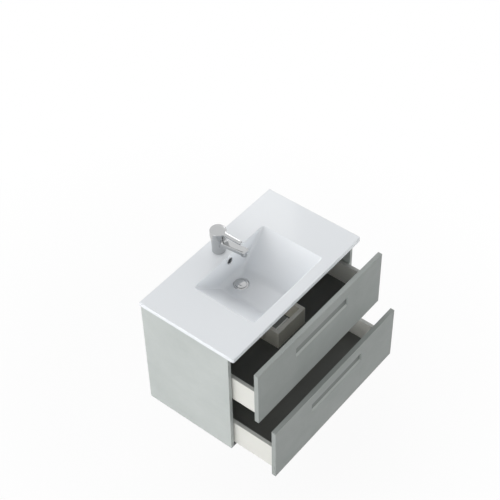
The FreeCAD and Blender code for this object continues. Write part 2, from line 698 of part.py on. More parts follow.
def tap_body():
    """Tap casting: flared column, domed head, rising spout and threaded shank."""
    foot = "TapSealThickness"
    column_points = [
        ("0", foot),
        ("TapBaseRadius", foot),
        ("TapWaistRadius", "TapWaistHeight"),
        ("TapRimRadius", "TapRimHeight"),
        ("0", "TapRimHeight"),
    ]
    column = turned("tap_column", column_points, y=TAP_Y, z=DECK)
    sphere = ball("tap_dome_ball", TAP_DOME, "0", TAP_Y, TAP_PIVOT)
    above = rod("tap_dome_limit", "z", "TapRimRadius", TAP_RIM, f"{TAP_RIM} + TapRimRadius", y=TAP_Y)
    dome = common("tap_dome", sphere, above)
    spout = doc.addObject("Part::Box", "spout_bar")
    bind(spout, {"Length": "SpoutWidth", "Width": "SpoutReach", "Height": "SpoutThickness"})
    spout_top = f"{DECK} + SpoutRootHeight + SpoutThickness / 2"
    place(spout, "-SpoutWidth / 2", TAP_Y, spout_top, "180 - SpoutRise")
    root = value(f"{TAP_Y} - TapRimRadius")
    smooth = rounded("spout", spout, "SpoutRadius", lambda edge: min(v.Y for v in edge.Vertexes) < root)
    outlet_reach = "(SpoutReach - AeratorRadius - AeratorBossWall - AeratorInset)"
    aerator_y = f"({TAP_Y} - {outlet_reach})"
    tip_z = f"({DECK} + SpoutRootHeight + {outlet_reach} * tan(SpoutRise))"
    boss_low = f"({tip_z} - SpoutThickness / 2 - AeratorDrop)"
    boss = rod("aerator_boss", "z", "AeratorRadius + AeratorBossWall", boss_low, tip_z, y=aerator_y)
    shank_low = f"({CARCASS_TOP} + TapShankRise)"
    shank = rod("tap_shank", "z", "TapHoleRadius - TapHoleClearance", shank_low, f"{DECK} + {foot}", y=TAP_Y)
    solid = joined("tap_solid", [column, dome, smooth, boss, shank])
    floor = f"({DECK} + CartridgeFloor)"
    seat = f"({floor} + CartridgeHeight)"
    tools = [
        rod("cartridge_bore", "z", "CartridgeRadius", floor, seat, y=TAP_Y),
        rod("tap_throat", "z", "TapThroatRadius", seat, f"{TAP_PIVOT} + {TAP_DOME}", y=TAP_Y),
        rod("aerator_seat", "z", "AeratorRadius", boss_low, f"{boss_low} + AeratorHeight", y=aerator_y),
        rod("aerator_feed", "z", "SpoutWaterway", boss_low, tip_z, y=aerator_y),
        rod("stud_socket", "z", "TapStudRadius", shank_low, f"{shank_low} + TapStudDepth",
            y=f"{TAP_Y} - TapStudOffset"),
    ]
    waterway = doc.addObject("Part::Cylinder", "spout_waterway")
    bind(waterway, {"Radius": "SpoutWaterway", "Height": f"{outlet_reach} / cos(SpoutRise)"})
    tools.append(place(waterway, "0", TAP_Y, f"{DECK} + SpoutRootHeight", "90 - SpoutRise"))
    for side, sign in SIDES.items():
        x = f"{sign} * InletSpacing / 2"
        tools.append(rod(f"inlet_{side}", "z", "InletRadius", shank_low, f"{shank_low} + InletDepth", x, TAP_Y))
        tools.append(rod(f"passage_{side}", "z", "InletPassage", shank_low, floor, x, TAP_Y))
    keep("tap_body", cut("tap_cast", solid, tools))
    keep("tap_base_seal", ring("tap_seal_ring", "TapHoleRadius", "TapBaseRadius - TapSealInset", "0", foot,
                               y=TAP_Y, z=DECK))
    screen_points = [
        ("0", "AeratorLip"),
        ("AeratorRadius - 2 * AeratorLip", "AeratorLip"),
        ("AeratorRadius - AeratorLip", "-AeratorLip"),
        ("AeratorRadius", "-AeratorLip"),
        ("AeratorRadius", "AeratorHeight"),
        ("0", "AeratorHeight"),
    ]
    keep("tap_aerator", turned("aerator", screen_points, y=aerator_y, z=boss_low))
    keep("tap_cartridge", rod("cartridge", "z", "CartridgeRadius", floor, seat, y=TAP_Y))


def tap_lever():
    """Swivelling carrier, pivot pin, stem and lever cap."""
    seat = f"({DECK} + CartridgeFloor + CartridgeHeight)"
    disc_low = f"{seat} + SlidingGap"
    disc_high = f"{disc_low} + CarrierThickness"
    disc = rod("carrier_disc", "z", "CarrierRadius", disc_low, disc_high, y=TAP_Y)
    inner = "(LeverEyeWidth / 2 + SlidingGap)"
    deep = "CarrierEarDepth / 2"
    ears = []
    for side, sign in SIDES.items():
        ears.append(box(f"carrier_ear_{side}", span(sign, inner, f"{inner} + CarrierEar"),
                        (f"{TAP_Y} - {deep}", f"{TAP_Y} + {deep}"),
                        (disc_low, f"{TAP_PIVOT} + LeverEyeRadius")))
    fork = joined("carrier_fork", [disc] + ears)
    pin_half = f"({inner} + CarrierEar)"
    pin_hole = rod("carrier_hole", "x", "LeverPinRadius", f"-{pin_half}", pin_half, y=TAP_Y, z=TAP_PIVOT)
    keep("tap_carrier", cut("carrier", fork, [pin_hole]))
    keep("tap_lever_pin", rod("lever_pin", "x", "LeverPinRadius", f"-{pin_half}", pin_half, y=TAP_Y, z=TAP_PIVOT))
    eye_half = "LeverEyeWidth / 2"
    eye = rod("lever_eye", "x", "LeverEyeRadius", f"-{eye_half}", eye_half, y=TAP_Y, z=TAP_PIVOT)
    stem_top = f"({TAP_PIVOT} + {TAP_DOME} + SlidingGap + LeverStemSocket)"
    stem = rod("lever_stem", "z", "LeverStemRadius", TAP_PIVOT, stem_top, y=TAP_Y)
    eye_bore = rod("lever_eye_bore", "x", "LeverPinRadius + RunningFit", "-LeverEyeWidth", "LeverEyeWidth",
                   y=TAP_Y, z=TAP_PIVOT)
    keep("tap_lever_stem", cut("stem", joined("stem_solid", [eye, stem]), [eye_bore]))
    cap_points = [
        ("0", "0"),
        ("TapRimRadius", "0"),
        ("TapRimRadius - LeverCapTaper", "LeverCapHeight - LeverCapShoulder"),
        ("TapRimRadius - LeverCapShoulder", "LeverCapHeight - LeverCapCrown"),
        ("0", "LeverCapHeight"),
    ]
    cap = turned("lever_cap", cap_points, y=TAP_Y, z=TAP_RIM)
    top = f"({TAP_RIM} + LeverCapHeight - LeverTopDrop)"
    bar = box("lever_bar", ("-LeverWidth / 2", "LeverWidth / 2"), (f"{TAP_Y} - LeverReach", TAP_Y),
              (f"{top} - LeverThickness", top))
    tip = value(f"{TAP_Y} - LeverReach")
    smooth = rounded("lever_blade", bar, "LeverRadius",
                     lambda edge: along(edge, 1) or (along(edge, 2) and edge.Vertexes[0].Y < tip + 1e-3)
                     or (along(edge, 0) and edge.Vertexes[0].Y < tip + 1e-3))
    solid = joined("lever_solid", [cap, smooth])
    hollow = ball("lever_hollow", f"{TAP_DOME} + SlidingGap", "0", TAP_Y, TAP_PIVOT)
    socket = rod("lever_socket", "z", "LeverStemRadius", TAP_PIVOT, stem_top, y=TAP_Y)
    keep("tap_lever", cut("lever", solid, [hollow, socket]))


def tap_fixing():
    """Stud, horseshoe plate and nut that clamp the tap under the basin."""
    stud_y = f"({TAP_Y} - TapStudOffset)"
    stud_top = f"{CARCASS_TOP} + TapShankRise + TapStudDepth"
    keep("tap_fixing_stud", rod("stud", "z", "TapStudRadius", f"{stud_top} - TapStudLength", stud_top, y=stud_y))
    plate_low = f"({CARCASS_TOP} - TapPlateThickness)"
    disc = rod("plate_disc", "z", "TapPlateRadius", plate_low, CARCASS_TOP, y=TAP_Y)
    reach = "2 * TapPlateRadius"
    slot_half = "TapPlateSlot / 2"
    slot_y = (f"{TAP_Y} - InletRadius - TapPlateSlotGap", f"{TAP_Y} + {reach}")
    slot = box("plate_slot", (f"-{slot_half}", slot_half), slot_y, (plate_low, CARCASS_TOP))
    rear = box("plate_rear", (f"-{reach}", reach), (f"{TAP_Y} + TapPlateRear", f"{TAP_Y} + {reach}"),
               (plate_low, CARCASS_TOP))
    hole = rod("plate_hole", "z", "TapStudRadius", plate_low, CARCASS_TOP, y=stud_y)
    keep("tap_fixing_plate", cut("plate", disc, [slot, rear, hole]))
    nut_low = f"{plate_low} - TapNutHeight"
    blank = prism("tap_nut_blank", "TapNutRadius", nut_low, plate_low, "0", stud_y)
    thread = rod("tap_nut_thread", "z", "TapStudRadius", nut_low, plate_low, y=stud_y)
    keep("tap_fixing_nut", cut("tap_nut", blank, [thread]))


def cam_joints():
    """Places where a cross panel meets a side: name, y, z, cam axis, cam mouth and cam end."""
    top_z = f"({CARCASS_TOP} - TopRailHeight / 2)"
    lower_z = f"({FLOOR_TOP} + LowerRailHeight / 2)"
    middle = f"(-{RAIL_FRONT} + PanelThickness / 2)"
    rail = {"axis": "y", "low": f"-{RAIL_FRONT}", "high": f"-{RAIL_FRONT} + CamDepth"}
    floor = {"axis": "z", "low": CARCASS_BOTTOM, "high": f"{CARCASS_BOTTOM} + CamDepth"}
    floor_z = f"({CARCASS_BOTTOM} + PanelThickness / 2)"
    return {
        "top_rail": {"y": middle, "z": top_z, **rail},
        "lower_rail": {"y": middle, "z": lower_z, **rail},
        "floor_front": {"y": f"(-{CARCASS_DEPTH} + BottomCamFront)", "z": floor_z, **floor},
        "floor_rear": {"y": "(-BottomCamRear)", "z": floor_z, **floor},
    }


def cam(name, sign, joint):
    """Cam of one joint."""
    x = f"{sign} * ({INSIDE_HALF} - CamInset)"
    spot = {"x": x, "y": joint["y"], "z": joint["z"]}
    spot.pop(joint["axis"])
    return rod(name, joint["axis"], "CamRadius", joint["low"], joint["high"], **spot)


def cam_bolt(name, sign, joint):
    """Bolt from a side panel to its cam: thread in the panel, shank in the cross panel."""
    reach = f"{INSIDE_HALF} - CamInset + CamRadius"
    shank = rod(name + "_shank", "x", "CamBoltRadius", *span(sign, reach, INSIDE_HALF), y=joint["y"], z=joint["z"])
    thread = rod(name + "_thread", "x", "CamThreadRadius",
                 *span(sign, INSIDE_HALF, f"{INSIDE_HALF} + CamThreadDepth"), y=joint["y"], z=joint["z"])
    return shank, thread


def runner_screw_places():
    """Screws that hold the runners: drawer, y and z of each."""
    front = f"(-{CARCASS_DEPTH} + RunnerSetback)"
    back = f"({front} + {RUNNER_LENGTH})"
    places = []
    for drawer in DRAWERS:
        z = f"({runner_base(drawer)} + RunnerFlangeHeight / 2 + RunnerSheet)"
        places.append((drawer + "_front", f"({front} + RunnerScrewMargin)", z))
        places.append((drawer + "_middle", f"({front} + {RUNNER_LENGTH} / 2)", z))
        places.append((drawer + "_rear", f"({back} - RunnerScrewMargin)", z))
    return places


def side_bottom(drawer):
    """Underside of a drawer's sides."""
    return f"({DRAWERS[drawer]['top']} - {FRONT_HEIGHT} + DrawerSideLift)"


def runner_base(drawer):
    """Underside of a drawer's runners."""
    return f"({side_bottom(drawer)} - RunnerDrop)"


def carcass():
    """Side panels, bottom and rear rails, with their cams, bolts and bumpers."""
    joints = cam_joints()
    cams, bolts = [], []
    pockets = {name: [] for name in joints}
    for side, sign in SIDES.items():
        holes = []
        for name, joint in joints.items():
            label = f"{name}_{side}"
            cams.append(cam(f"cam_{label}", sign, joint))
            pockets[name].append(cam(f"cam_pocket_{label}", sign, joint))
            shank, thread = cam_bolt(f"bolt_{label}", sign, joint)
            bolts.append(joined(f"bolt_{label}", [shank, thread]))
            shank_space, thread_space = cam_bolt(f"bolt_space_{label}", sign, joint)
            pockets[name].append(shank_space)
            holes.append(thread_space)
        for name, y, z in runner_screw_places():
            stretch = span(sign, INSIDE_HALF, f"{INSIDE_HALF} + RunnerScrewLength")
            holes.append(rod(f"pilot_{name}_{side}", "x", "RunnerScrewRadius", *stretch, y=y, z=z))
        panel = box(f"panel_{side}", span(sign, INSIDE_HALF, CARCASS_HALF), (f"-{CARCASS_DEPTH}", "0"),
                    (CARCASS_BOTTOM, CARCASS_TOP))
        keep(f"side_panel_{side}", cut(f"panel_drilled_{side}", panel, holes))
    inside = (f"-{INSIDE_HALF}", INSIDE_HALF)
    rail_y = (f"-{RAIL_FRONT}", "-RailSetback")
    bottom = box("floor_board", inside, (f"-{CARCASS_DEPTH}", "0"), (CARCASS_BOTTOM, FLOOR_TOP))
    keep("bottom_panel", cut("floor_drilled", bottom, pockets["floor_front"] + pockets["floor_rear"]))
    lower = box("lower_rail_board", inside, rail_y, (FLOOR_TOP, f"{FLOOR_TOP} + LowerRailHeight"))
    keep("lower_rear_rail", cut("lower_rail_drilled", lower, pockets["lower_rail"]))
    top = box("top_rail_board", inside, rail_y, (f"{CARCASS_TOP} - TopRailHeight", CARCASS_TOP))
    slots = []
    for side, sign in SIDES.items():
        half = "(HookThickness / 2 + HookSlotClearance)"
        low, high = hook_levels()
        slots.append(box(f"hook_slot_{side}", span(sign, f"{HANGER_X} - {half}", f"{HANGER_X} + {half}"), rail_y,
                         (f"{low} - HookSlotClearance", f"{high} + HookSlotClearance")))
    keep("top_rear_rail", cut("top_rail_drilled", top, pockets["top_rail"] + slots))
    keep("cam_locks", group("cams", cams))
    keep("cam_bolts", group("bolts", bolts))
    bumpers = []
    for side, sign in SIDES.items():
        for drawer, facts in DRAWERS.items():
            bumpers.append(rod(f"bumper_{drawer}_{side}", "y", "BumperRadius",
                               f"-{FRONT_BACK} + SlidingGap", f"-{CARCASS_DEPTH}",
                               x=f"{sign} * ({CARCASS_HALF} - PanelThickness / 2)", z=f"{facts['top']} - BumperDrop"))
    keep("bumpers", group("bumper_set", bumpers))


def hook_levels():
    """Underside and top of the hangers' hooks."""
    low = "(WallPlateTop + WallPlateThickness + WallPlateLip + SlidingGap)"
    return low, f"({low} + HookHeight)"


def hanging():
    """Wall plates with their holes, and hangers hooked over them."""
    plates, hangers, screws = [], [], []
    low, high = hook_levels()
    ledge = "(WallPlateThickness + WallPlateStandoff)"
    lip = f"({ledge} + WallPlateThickness)"
    for side, sign in SIDES.items():
        half = "WallPlateWidth / 2"
        x = span(sign, f"{HANGER_X} - {half}", f"{HANGER_X} + {half}")
        flat = box(f"plate_flat_{side}", x, ("-WallPlateThickness", "0"), ("-WallPlateBottom", "WallPlateTop"))
        shelf = box(f"plate_shelf_{side}", x, (f"-{lip}", "0"), ("WallPlateTop", "WallPlateTop + WallPlateThickness"))
        stand = box(f"plate_lip_{side}", x, (f"-{lip}", f"-{ledge}"),
                    ("WallPlateTop", "WallPlateTop + WallPlateThickness + WallPlateLip"))
        holes = []
        for name, level in (("low", "-WallHoleSpacing / 2"), ("high", "WallHoleSpacing / 2")):
            holes.append(rod(f"plate_hole_{name}_{side}", "y", "WallHoleRadius", "-WallPlateThickness", "0",
                             x=f"{sign} * {HANGER_X}", z=level))
        plates.append(cut(f"plate_{side}", joined(f"plate_solid_{side}", [flat, shelf, stand]), holes))
        hook_x = span(sign, f"{HANGER_X} - HookThickness / 2", f"{HANGER_X} + HookThickness / 2")
        leg_back = f"-{ledge} + SlidingGap + HookLeg"
        arm = box(f"hook_arm_{side}", hook_x, (f"-{RAIL_FRONT} - HangerLength / 2", leg_back), (low, high))
        leg = box(f"hook_leg_{side}", hook_x, (f"-{ledge} + SlidingGap", leg_back),
                  ("WallPlateTop + WallPlateThickness + SlidingGap", high))
        middle = f"(({low} + {high}) / 2)"
        case = box(f"hanger_case_{side}", span(sign, f"{INSIDE_HALF} - HangerWidth", INSIDE_HALF),
                   (f"-{RAIL_FRONT} - HangerLength", f"-{RAIL_FRONT}"),
                   (f"{middle} - HangerHeight / 2", f"{middle} + HangerHeight / 2"))
        hangers.append(joined(f"hanger_{side}", [case, arm, leg]))
        for name, step in (("low", "-1"), ("high", "1")):
            face = f"-{RAIL_FRONT} - HangerLength"
            screws.append(rod(f"hanger_screw_{name}_{side}", "y", "HangerScrewRadius",
                              f"{face} - HangerScrewHead", face,
                              x=f"{sign} * ({INSIDE_HALF} - HangerWidth / 2)",
                              z=f"{middle} + {step} * HangerScrewSpacing / 2"))
    keep("wall_plates", group("plate_pair", plates))
    keep("hangers", group("hanger_pair", hangers))
    keep("hanger_screws", group("hanger_screw_set", screws))


def runner_sections(sign):
    """Sections of a runner's three members, as distance from the side panel and height."""
    sheet, lip = "RunnerSheet", "RunnerLip"
    near, far = "RunnerInset", "(RunnerInset + RunnerWidth)"
    height, lips = RUNNER_HEIGHT, RUNNER_LIPS
    cabinet = [
        ("0", "0"),
        ("0", "RunnerFlangeHeight"),
        (sheet, "RunnerFlangeHeight"),
        (sheet, sheet),
        (near, sheet),
        (near, lips),
        (f"{near} + {sheet} + {lip}", lips),
        (f"{near} + {sheet} + {lip}", f"{lips} - {sheet}"),
        (f"{near} + {sheet}", f"{lips} - {sheet}"),
        (f"{near} + {sheet}", sheet),
        (f"{far} - {sheet}", sheet),
        (f"{far} - {sheet}", f"{lips} - {sheet}"),
        (f"{far} - {sheet} - {lip}", f"{lips} - {sheet}"),
        (f"{far} - {sheet} - {lip}", lips),
        (far, lips),
        (far, "0"),
    ]
    bar_near = f"{near} + {sheet} + RunnerSideGap"
    bar_far = f"{far} - {sheet} - RunnerSideGap"
    web_near = f"{near} + RunnerWidth / 2 - RunnerBarWeb / 2"
    web_far = f"{near} + RunnerWidth / 2 + RunnerBarWeb / 2"
    bar_low = f"{sheet} + SlidingGap"
    bar_high = f"{height} - {sheet} - SlidingGap"
    middle = [
        (bar_near, bar_low),
        (bar_far, bar_low),
        (bar_far, f"{bar_low} + RunnerBarFlange"),
        (web_far, f"{bar_low} + RunnerBarFlange"),
        (web_far, f"{bar_high} - RunnerBarFlange"),
        (bar_far, f"{bar_high} - RunnerBarFlange"),
        (bar_far, bar_high),
        (bar_near, bar_high),
        (bar_near, f"{bar_high} - RunnerBarFlange"),
        (web_near, f"{bar_high} - RunnerBarFlange"),
        (web_near, f"{bar_low} + RunnerBarFlange"),
        (bar_near, f"{bar_low} + RunnerBarFlange"),
    ]
    rail = [
        (near, height),
        (far, height),
        (far, f"{height} - {lips}"),
        (f"{far} - {sheet} - {lip}", f"{height} - {lips}"),
        (f"{far} - {sheet} - {lip}", f"{height} - {lips} + {sheet}"),
        (f"{far} - {sheet}", f"{height} - {lips} + {sheet}"),
        (f"{far} - {sheet}", f"{height} - {sheet}"),
        (f"{near} + {sheet}", f"{height} - {sheet}"),
        (f"{near} + {sheet}", f"{height} - {lips} + {sheet}"),
        (f"{near} + {sheet} + {lip}", f"{height} - {lips} + {sheet}"),
        (f"{near} + {sheet} + {lip}", f"{height} - {lips}"),
        (near, f"{height} - {lips}"),
    ]
    return [[(u if u == "0" else f"{-sign} * ({u})", v) for u, v in member] for member in (cabinet, middle, rail)]


def runners():
    """Cabinet members, sliding middle members and drawer rails, with the screws in the side panels."""
    back = f"(-{CARCASS_DEPTH} + RunnerSetback + {RUNNER_LENGTH})"
    screws = []
    for drawer, facts in DRAWERS.items():
        rails = []
        base = runner_base(drawer)
        opening = facts["open"]
        for side, sign in SIDES.items():
            x = f"{sign} * {INSIDE_HALF}"
            cabinet, middle, rail = runner_sections(sign)
            name = f"{drawer}_{side}"
            member = padded(f"cabinet_member_{name}", "XZ_Plane", cabinet, RUNNER_LENGTH, x, back, base)
            holes = []
            for place_name, y, z in runner_screw_places():
                if not place_name.startswith(drawer):
                    continue
                stretch = span(sign, f"{INSIDE_HALF} - RunnerSheet", f"{INSIDE_HALF} + RunnerScrewLength")
                head = span(sign, f"{INSIDE_HALF} - 2 * RunnerSheet", f"{INSIDE_HALF} - RunnerSheet")
                shank = rod(f"screw_shank_{place_name}_{side}", "x", "RunnerScrewRadius", *stretch, y=y, z=z)
                button = rod(f"screw_head_{place_name}_{side}", "x", "RunnerScrewHead", *head, y=y, z=z)
                screws.append(joined(f"screw_{place_name}_{side}", [shank, button]))
                holes.append(rod(f"screw_hole_{place_name}_{side}", "x", "RunnerScrewRadius", *stretch, y=y, z=z))
            keep(f"{drawer}_runner_cabinet_{side}", cut(f"cabinet_drilled_{name}", member, holes))
            middle_y = f"{back} - {opening} / 2"
            keep(f"{drawer}_runner_middle_{side}",
                 padded(f"middle_member_{name}", "XZ_Plane", middle, RUNNER_LENGTH, x, middle_y, base))
            rail_y = f"{back} - {opening}"
            rails.append(padded(f"drawer_rail_{name}", "XZ_Plane", rail, RUNNER_LENGTH, x, rail_y, base))
        keep(f"{drawer}_runner_rails", group(f"rails_{drawer}", rails))
    keep("runner_screws", group("runner_screw_set", screws))


def drawer_front(drawer):
    """Laminate front with its routed finger groove."""
    facts = DRAWERS[drawer]
    half = f"({CARCASS_HALF} - FrontInset)"
    inner = f"(-{FRONT_BACK} - {facts['open']})"
    outer = f"({inner} - FrontThickness)"
    board = box(f"{drawer}_board", (f"-{half}", half), (outer, inner),
                (f"{facts['top']} - {FRONT_HEIGHT}", facts["top"]))
    face = value(outer)
    eased = rounded(f"{drawer}_eased", board, "FrontArris", lambda edge: abs(edge.CenterOfMass.y - face) < 1e-3)
    groove = [
        ("-FrontArris", "-GrooveHeight"),
        ("0", "-GrooveHeight"),
        ("GrooveRampDepth", "-GrooveHeight + GrooveRampRise"),
        ("GrooveDepth", "-GrooveHeight + GrooveRise"),
        ("GrooveDepth", "GrooveUndercut"),
        ("GrooveLip", "GrooveUndercut"),
        ("GrooveLip", "0"),
        ("-FrontArris", "0"),
    ]
    tool = padded(f"{drawer}_groove", "YZ_Plane", groove, "GrooveLength", "-GrooveLength / 2", outer,
                  f"{facts['top']} - GrooveDrop")
    holes = [thread for _, _, thread in drawer_cams(drawer, "space")]
    keep(f"{drawer}_front", cut(f"{drawer}_routed", eased, [tool] + holes))


def drawer_cams(drawer, use):
    """Cam, shank and thread of each joint between a drawer's sides and its front."""
    opening = DRAWERS[drawer]["open"]
    face = f"(-{FRONT_BACK} - {opening})"
    base = side_bottom(drawer)
    top = f"({DRAWERS[drawer]['top']} - DrawerSideDrop)"
    cam_y = f"({face} + DrawerCamInset)"
    parts = []
    for side, sign in SIDES.items():
        middle = f"{sign} * ({SIDE_IN} + DrawerSideThickness / 2)"
        for level, z in (("low", f"({base} + DrawerCamMargin)"), ("high", f"({top} - DrawerCamMargin)")):
            name = f"{drawer}_{use}_{level}_{side}"
            disc = rod(f"cam_{name}", "x", "CamRadius", *span(sign, SIDE_IN, f"{SIDE_IN} + CamDepth"), y=cam_y, z=z)
            shank = rod(f"shank_{name}", "y", "CamBoltRadius", face, f"{cam_y} - CamRadius", x=middle, z=z)
            thread = rod(f"thread_{name}", "y", "CamThreadRadius", f"{face} - CamThreadDepth", face, x=middle, z=z)
            parts.append((disc, shank, thread))
    return parts


def drawer_box(drawer):
    """Sides, bottom and cam fittings of a drawer."""
    opening = DRAWERS[drawer]["open"]
    face = f"(-{FRONT_BACK} - {opening})"
    rear = f"(-DrawerRearSpace - {opening})"
    base = side_bottom(drawer)
    top = f"({DRAWERS[drawer]['top']} - DrawerSideDrop)"
    spaces = drawer_cams(drawer, "pocket")
    per_side = len(spaces) // len(SIDES)
    for index, (side, sign) in enumerate(SIDES.items()):
        board = box(f"{drawer}_side_board_{side}", span(sign, SIDE_IN, SIDE_OUT), (face, rear), (base, top))
        own = spaces[index * per_side:(index + 1) * per_side]
        tools = [disc for disc, _, _ in own] + [shank for _, shank, _ in own]
        keep(f"{drawer}_side_{side}", cut(f"{drawer}_side_drilled_{side}", board, tools))
    bolts = []
    fittings = drawer_cams(drawer, "fit")
    for number, (disc, shank, thread) in enumerate(fittings):
        bolts.append(disc)
        bolts.append(joined(f"{drawer}_bolt_{number}", [shank, thread]))
    keep(f"{drawer}_cam_fittings", group(f"{drawer}_fittings", bolts))
    low = f"({base} + DrawerBottomRaise)"
    floor = f"({low} + DrawerBottomThickness)"
    return face, rear, low, floor, top


def upper_drawer():
    """Upper drawer, with a recess that clears the trap."""
    drawer_front("upper")
    face, rear, low, floor, top = drawer_box("upper")
    opening = DRAWERS["upper"]["open"]
    half = "RecessWidth / 2"
    recess_front = f"(-RecessFront - {opening})"
    board = box("upper_bottom_board", (f"-{SIDE_IN}", SIDE_IN), (face, rear), (low, floor))
    notch = box("upper_bottom_notch", (f"-{half}", half), (recess_front, rear), (low, floor))
    front_y = value(recess_front)
    notch_round = rounded("upper_bottom_notch_round", notch, "RecessRadius",
                          lambda edge: along(edge, 2) and edge.Vertexes[0].Y < front_y + 1e-3)
    keep("upper_bottom", cut("upper_bottom_cut", board, [notch_round]))
    outer_half = f"({half} + RecessWall)"
    outer_front = f"({recess_front} - RecessWall)"
    rim = f"({top} - RecessDrop)"
    wall = box("recess_outside", (f"-{outer_half}", outer_half), (outer_front, rear), (floor, rim))
    space = box("recess_inside", (f"-{half}", half), (recess_front, rear), (floor, rim))
    outer_y = value(outer_front)
    wall_round = rounded("recess_outside_round", wall, "RecessArris",
                         lambda edge: along(edge, 2) and edge.Vertexes[0].Y < outer_y + 1e-3)
    keep("upper_recess", cut("recess", wall_round, [space]))
    backs = []
    for side, sign in SIDES.items():
        backs.append(box(f"upper_back_{side}", span(sign, outer_half, SIDE_IN),
                         (f"{rear} - DrawerBackThickness", rear), (floor, top)))
    keep("upper_backs", group("upper_back_pair", backs))


def lower_drawer():
    """Lower drawer, a plain box."""
    drawer_front("lower")
    face, rear, low, floor, top = drawer_box("lower")
    inside = (f"-{SIDE_IN}", SIDE_IN)
    keep("lower_bottom", box("lower_bottom_board", inside, (face, rear), (low, floor)))
    keep("lower_back", box("lower_back_board", inside, (f"{rear} - DrawerBackThickness", rear), (floor, top)))


def check_and_write():
    """Stop on any failed object or shape, then write each sub-part."""
    doc.recompute()
    failed = [item.Name for item in doc.Objects if {"Invalid", "Error"} & set(item.State)]
    if failed:
        raise RuntimeError(f"failed objects: {failed}")
    for node, item in pieces.items():
        shape = item.Shape
        if shape.isNull() or not shape.isValid() or not shape.Solids:
            raise RuntimeError(f"bad shape: {node}")
    os.makedirs("parts", exist_ok=True)
    for node, item in pieces.items():
        item.Shape.exportStep(f"parts/{node}.step")
        print(f"{node}: {len(item.Shape.Solids)} solid(s), {item.Shape.Volume / 1000:.1f} cm3")
    print(f"{len(pieces)} sub-parts")


washbasin()
overflow_ring()
waste()
trap()
tap_body()
tap_lever()
tap_fixing()
carcass()
hanging()
runners()
upper_drawer()
lower_drawer()
check_and_write()
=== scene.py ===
"""Wall-hung vanity unit: looks of the washbasin top, the tap, the drawers and their fittings.

Metres. The front faces -Y, the wall is the plane y = 0 and +Z is up. The origin is the middle of the wall
plates' holes, and both drawers stand part open.
"""

import json
import logging
import math
from collections.abc import Callable
from dataclasses import dataclass
from enum import Enum
from typing import Any, Union

import bmesh
import bpy
from mathutils import Matrix, Vector


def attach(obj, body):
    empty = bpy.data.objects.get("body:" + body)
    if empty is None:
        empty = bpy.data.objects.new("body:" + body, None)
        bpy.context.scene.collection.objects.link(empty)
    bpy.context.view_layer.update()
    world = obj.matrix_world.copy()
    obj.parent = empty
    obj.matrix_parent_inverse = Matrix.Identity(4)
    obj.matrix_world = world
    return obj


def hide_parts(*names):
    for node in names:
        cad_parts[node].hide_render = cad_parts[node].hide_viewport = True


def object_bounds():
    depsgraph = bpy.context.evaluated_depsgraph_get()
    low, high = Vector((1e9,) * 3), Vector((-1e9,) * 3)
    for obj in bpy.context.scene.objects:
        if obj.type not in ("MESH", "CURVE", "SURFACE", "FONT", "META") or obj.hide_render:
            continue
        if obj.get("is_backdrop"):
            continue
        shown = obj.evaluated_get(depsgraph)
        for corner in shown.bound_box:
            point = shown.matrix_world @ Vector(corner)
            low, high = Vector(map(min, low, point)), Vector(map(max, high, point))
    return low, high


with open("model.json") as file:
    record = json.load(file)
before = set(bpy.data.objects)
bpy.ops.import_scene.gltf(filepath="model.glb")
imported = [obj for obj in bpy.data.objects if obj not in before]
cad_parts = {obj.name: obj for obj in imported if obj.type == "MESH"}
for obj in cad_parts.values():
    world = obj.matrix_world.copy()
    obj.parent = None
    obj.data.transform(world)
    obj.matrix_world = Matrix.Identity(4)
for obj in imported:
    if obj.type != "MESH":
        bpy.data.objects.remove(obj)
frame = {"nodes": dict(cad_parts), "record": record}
CAD_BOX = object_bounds()
LOG = logging.getLogger("vanity")

Colour = tuple[float, float, float]
Point = tuple[float, float, float]
Number = Union[float, "Value"]
Outline = list[tuple[float, ...]]

ORIGIN = (0.0, 0.0, 0.0)
FULL_TURN = 6.28
FLAT_ANGLE = math.radians(0.4)
EASED_ANGLE = math.radians(45)
SHARP_DEGREES = 38.0
NODE_MERGE = 1e-6
SHELL_MERGE = 1.5e-6
BOX_MARGIN = 1e-5

NODE_BODY = {node: body for body, nodes in frame["record"]["behaviour"]["bodies"].items() for node in nodes}
NODE_SLOT = {part["node"]: part["material_slot"] for part in frame["record"]["subparts"]}


class Side(Enum):
    """Left or right."""

    LEFT = "left"
    RIGHT = "right"


class Level(Enum):
    """Which of the two drawers."""

    UPPER = "upper"
    LOWER = "lower"


class Way(Enum):
    """Directions that turned pieces and fasteners face."""

    UP = (0.0, 0.0, 1.0)
    DOWN = (0.0, 0.0, -1.0)
    FRONT = (0.0, -1.0, 0.0)
    BACK = (0.0, 1.0, 0.0)
    LEFT = (-1.0, 0.0, 0.0)
    RIGHT = (1.0, 0.0, 0.0)


def operator(operation: str, swapped: bool = False) -> Callable[["Value", Number], "Value"]:
    """Method that adds a Math node of one operation.

    Args:
        operation: The Math node's operation.
        swapped: Whether the other operand comes first.

    Returns:
        The method.
    """
    def method(self: "Value", other: Number) -> "Value":
        """Result of the operation."""
        return self.math(operation, other, self) if swapped else self.math(operation, self, other)
    return method


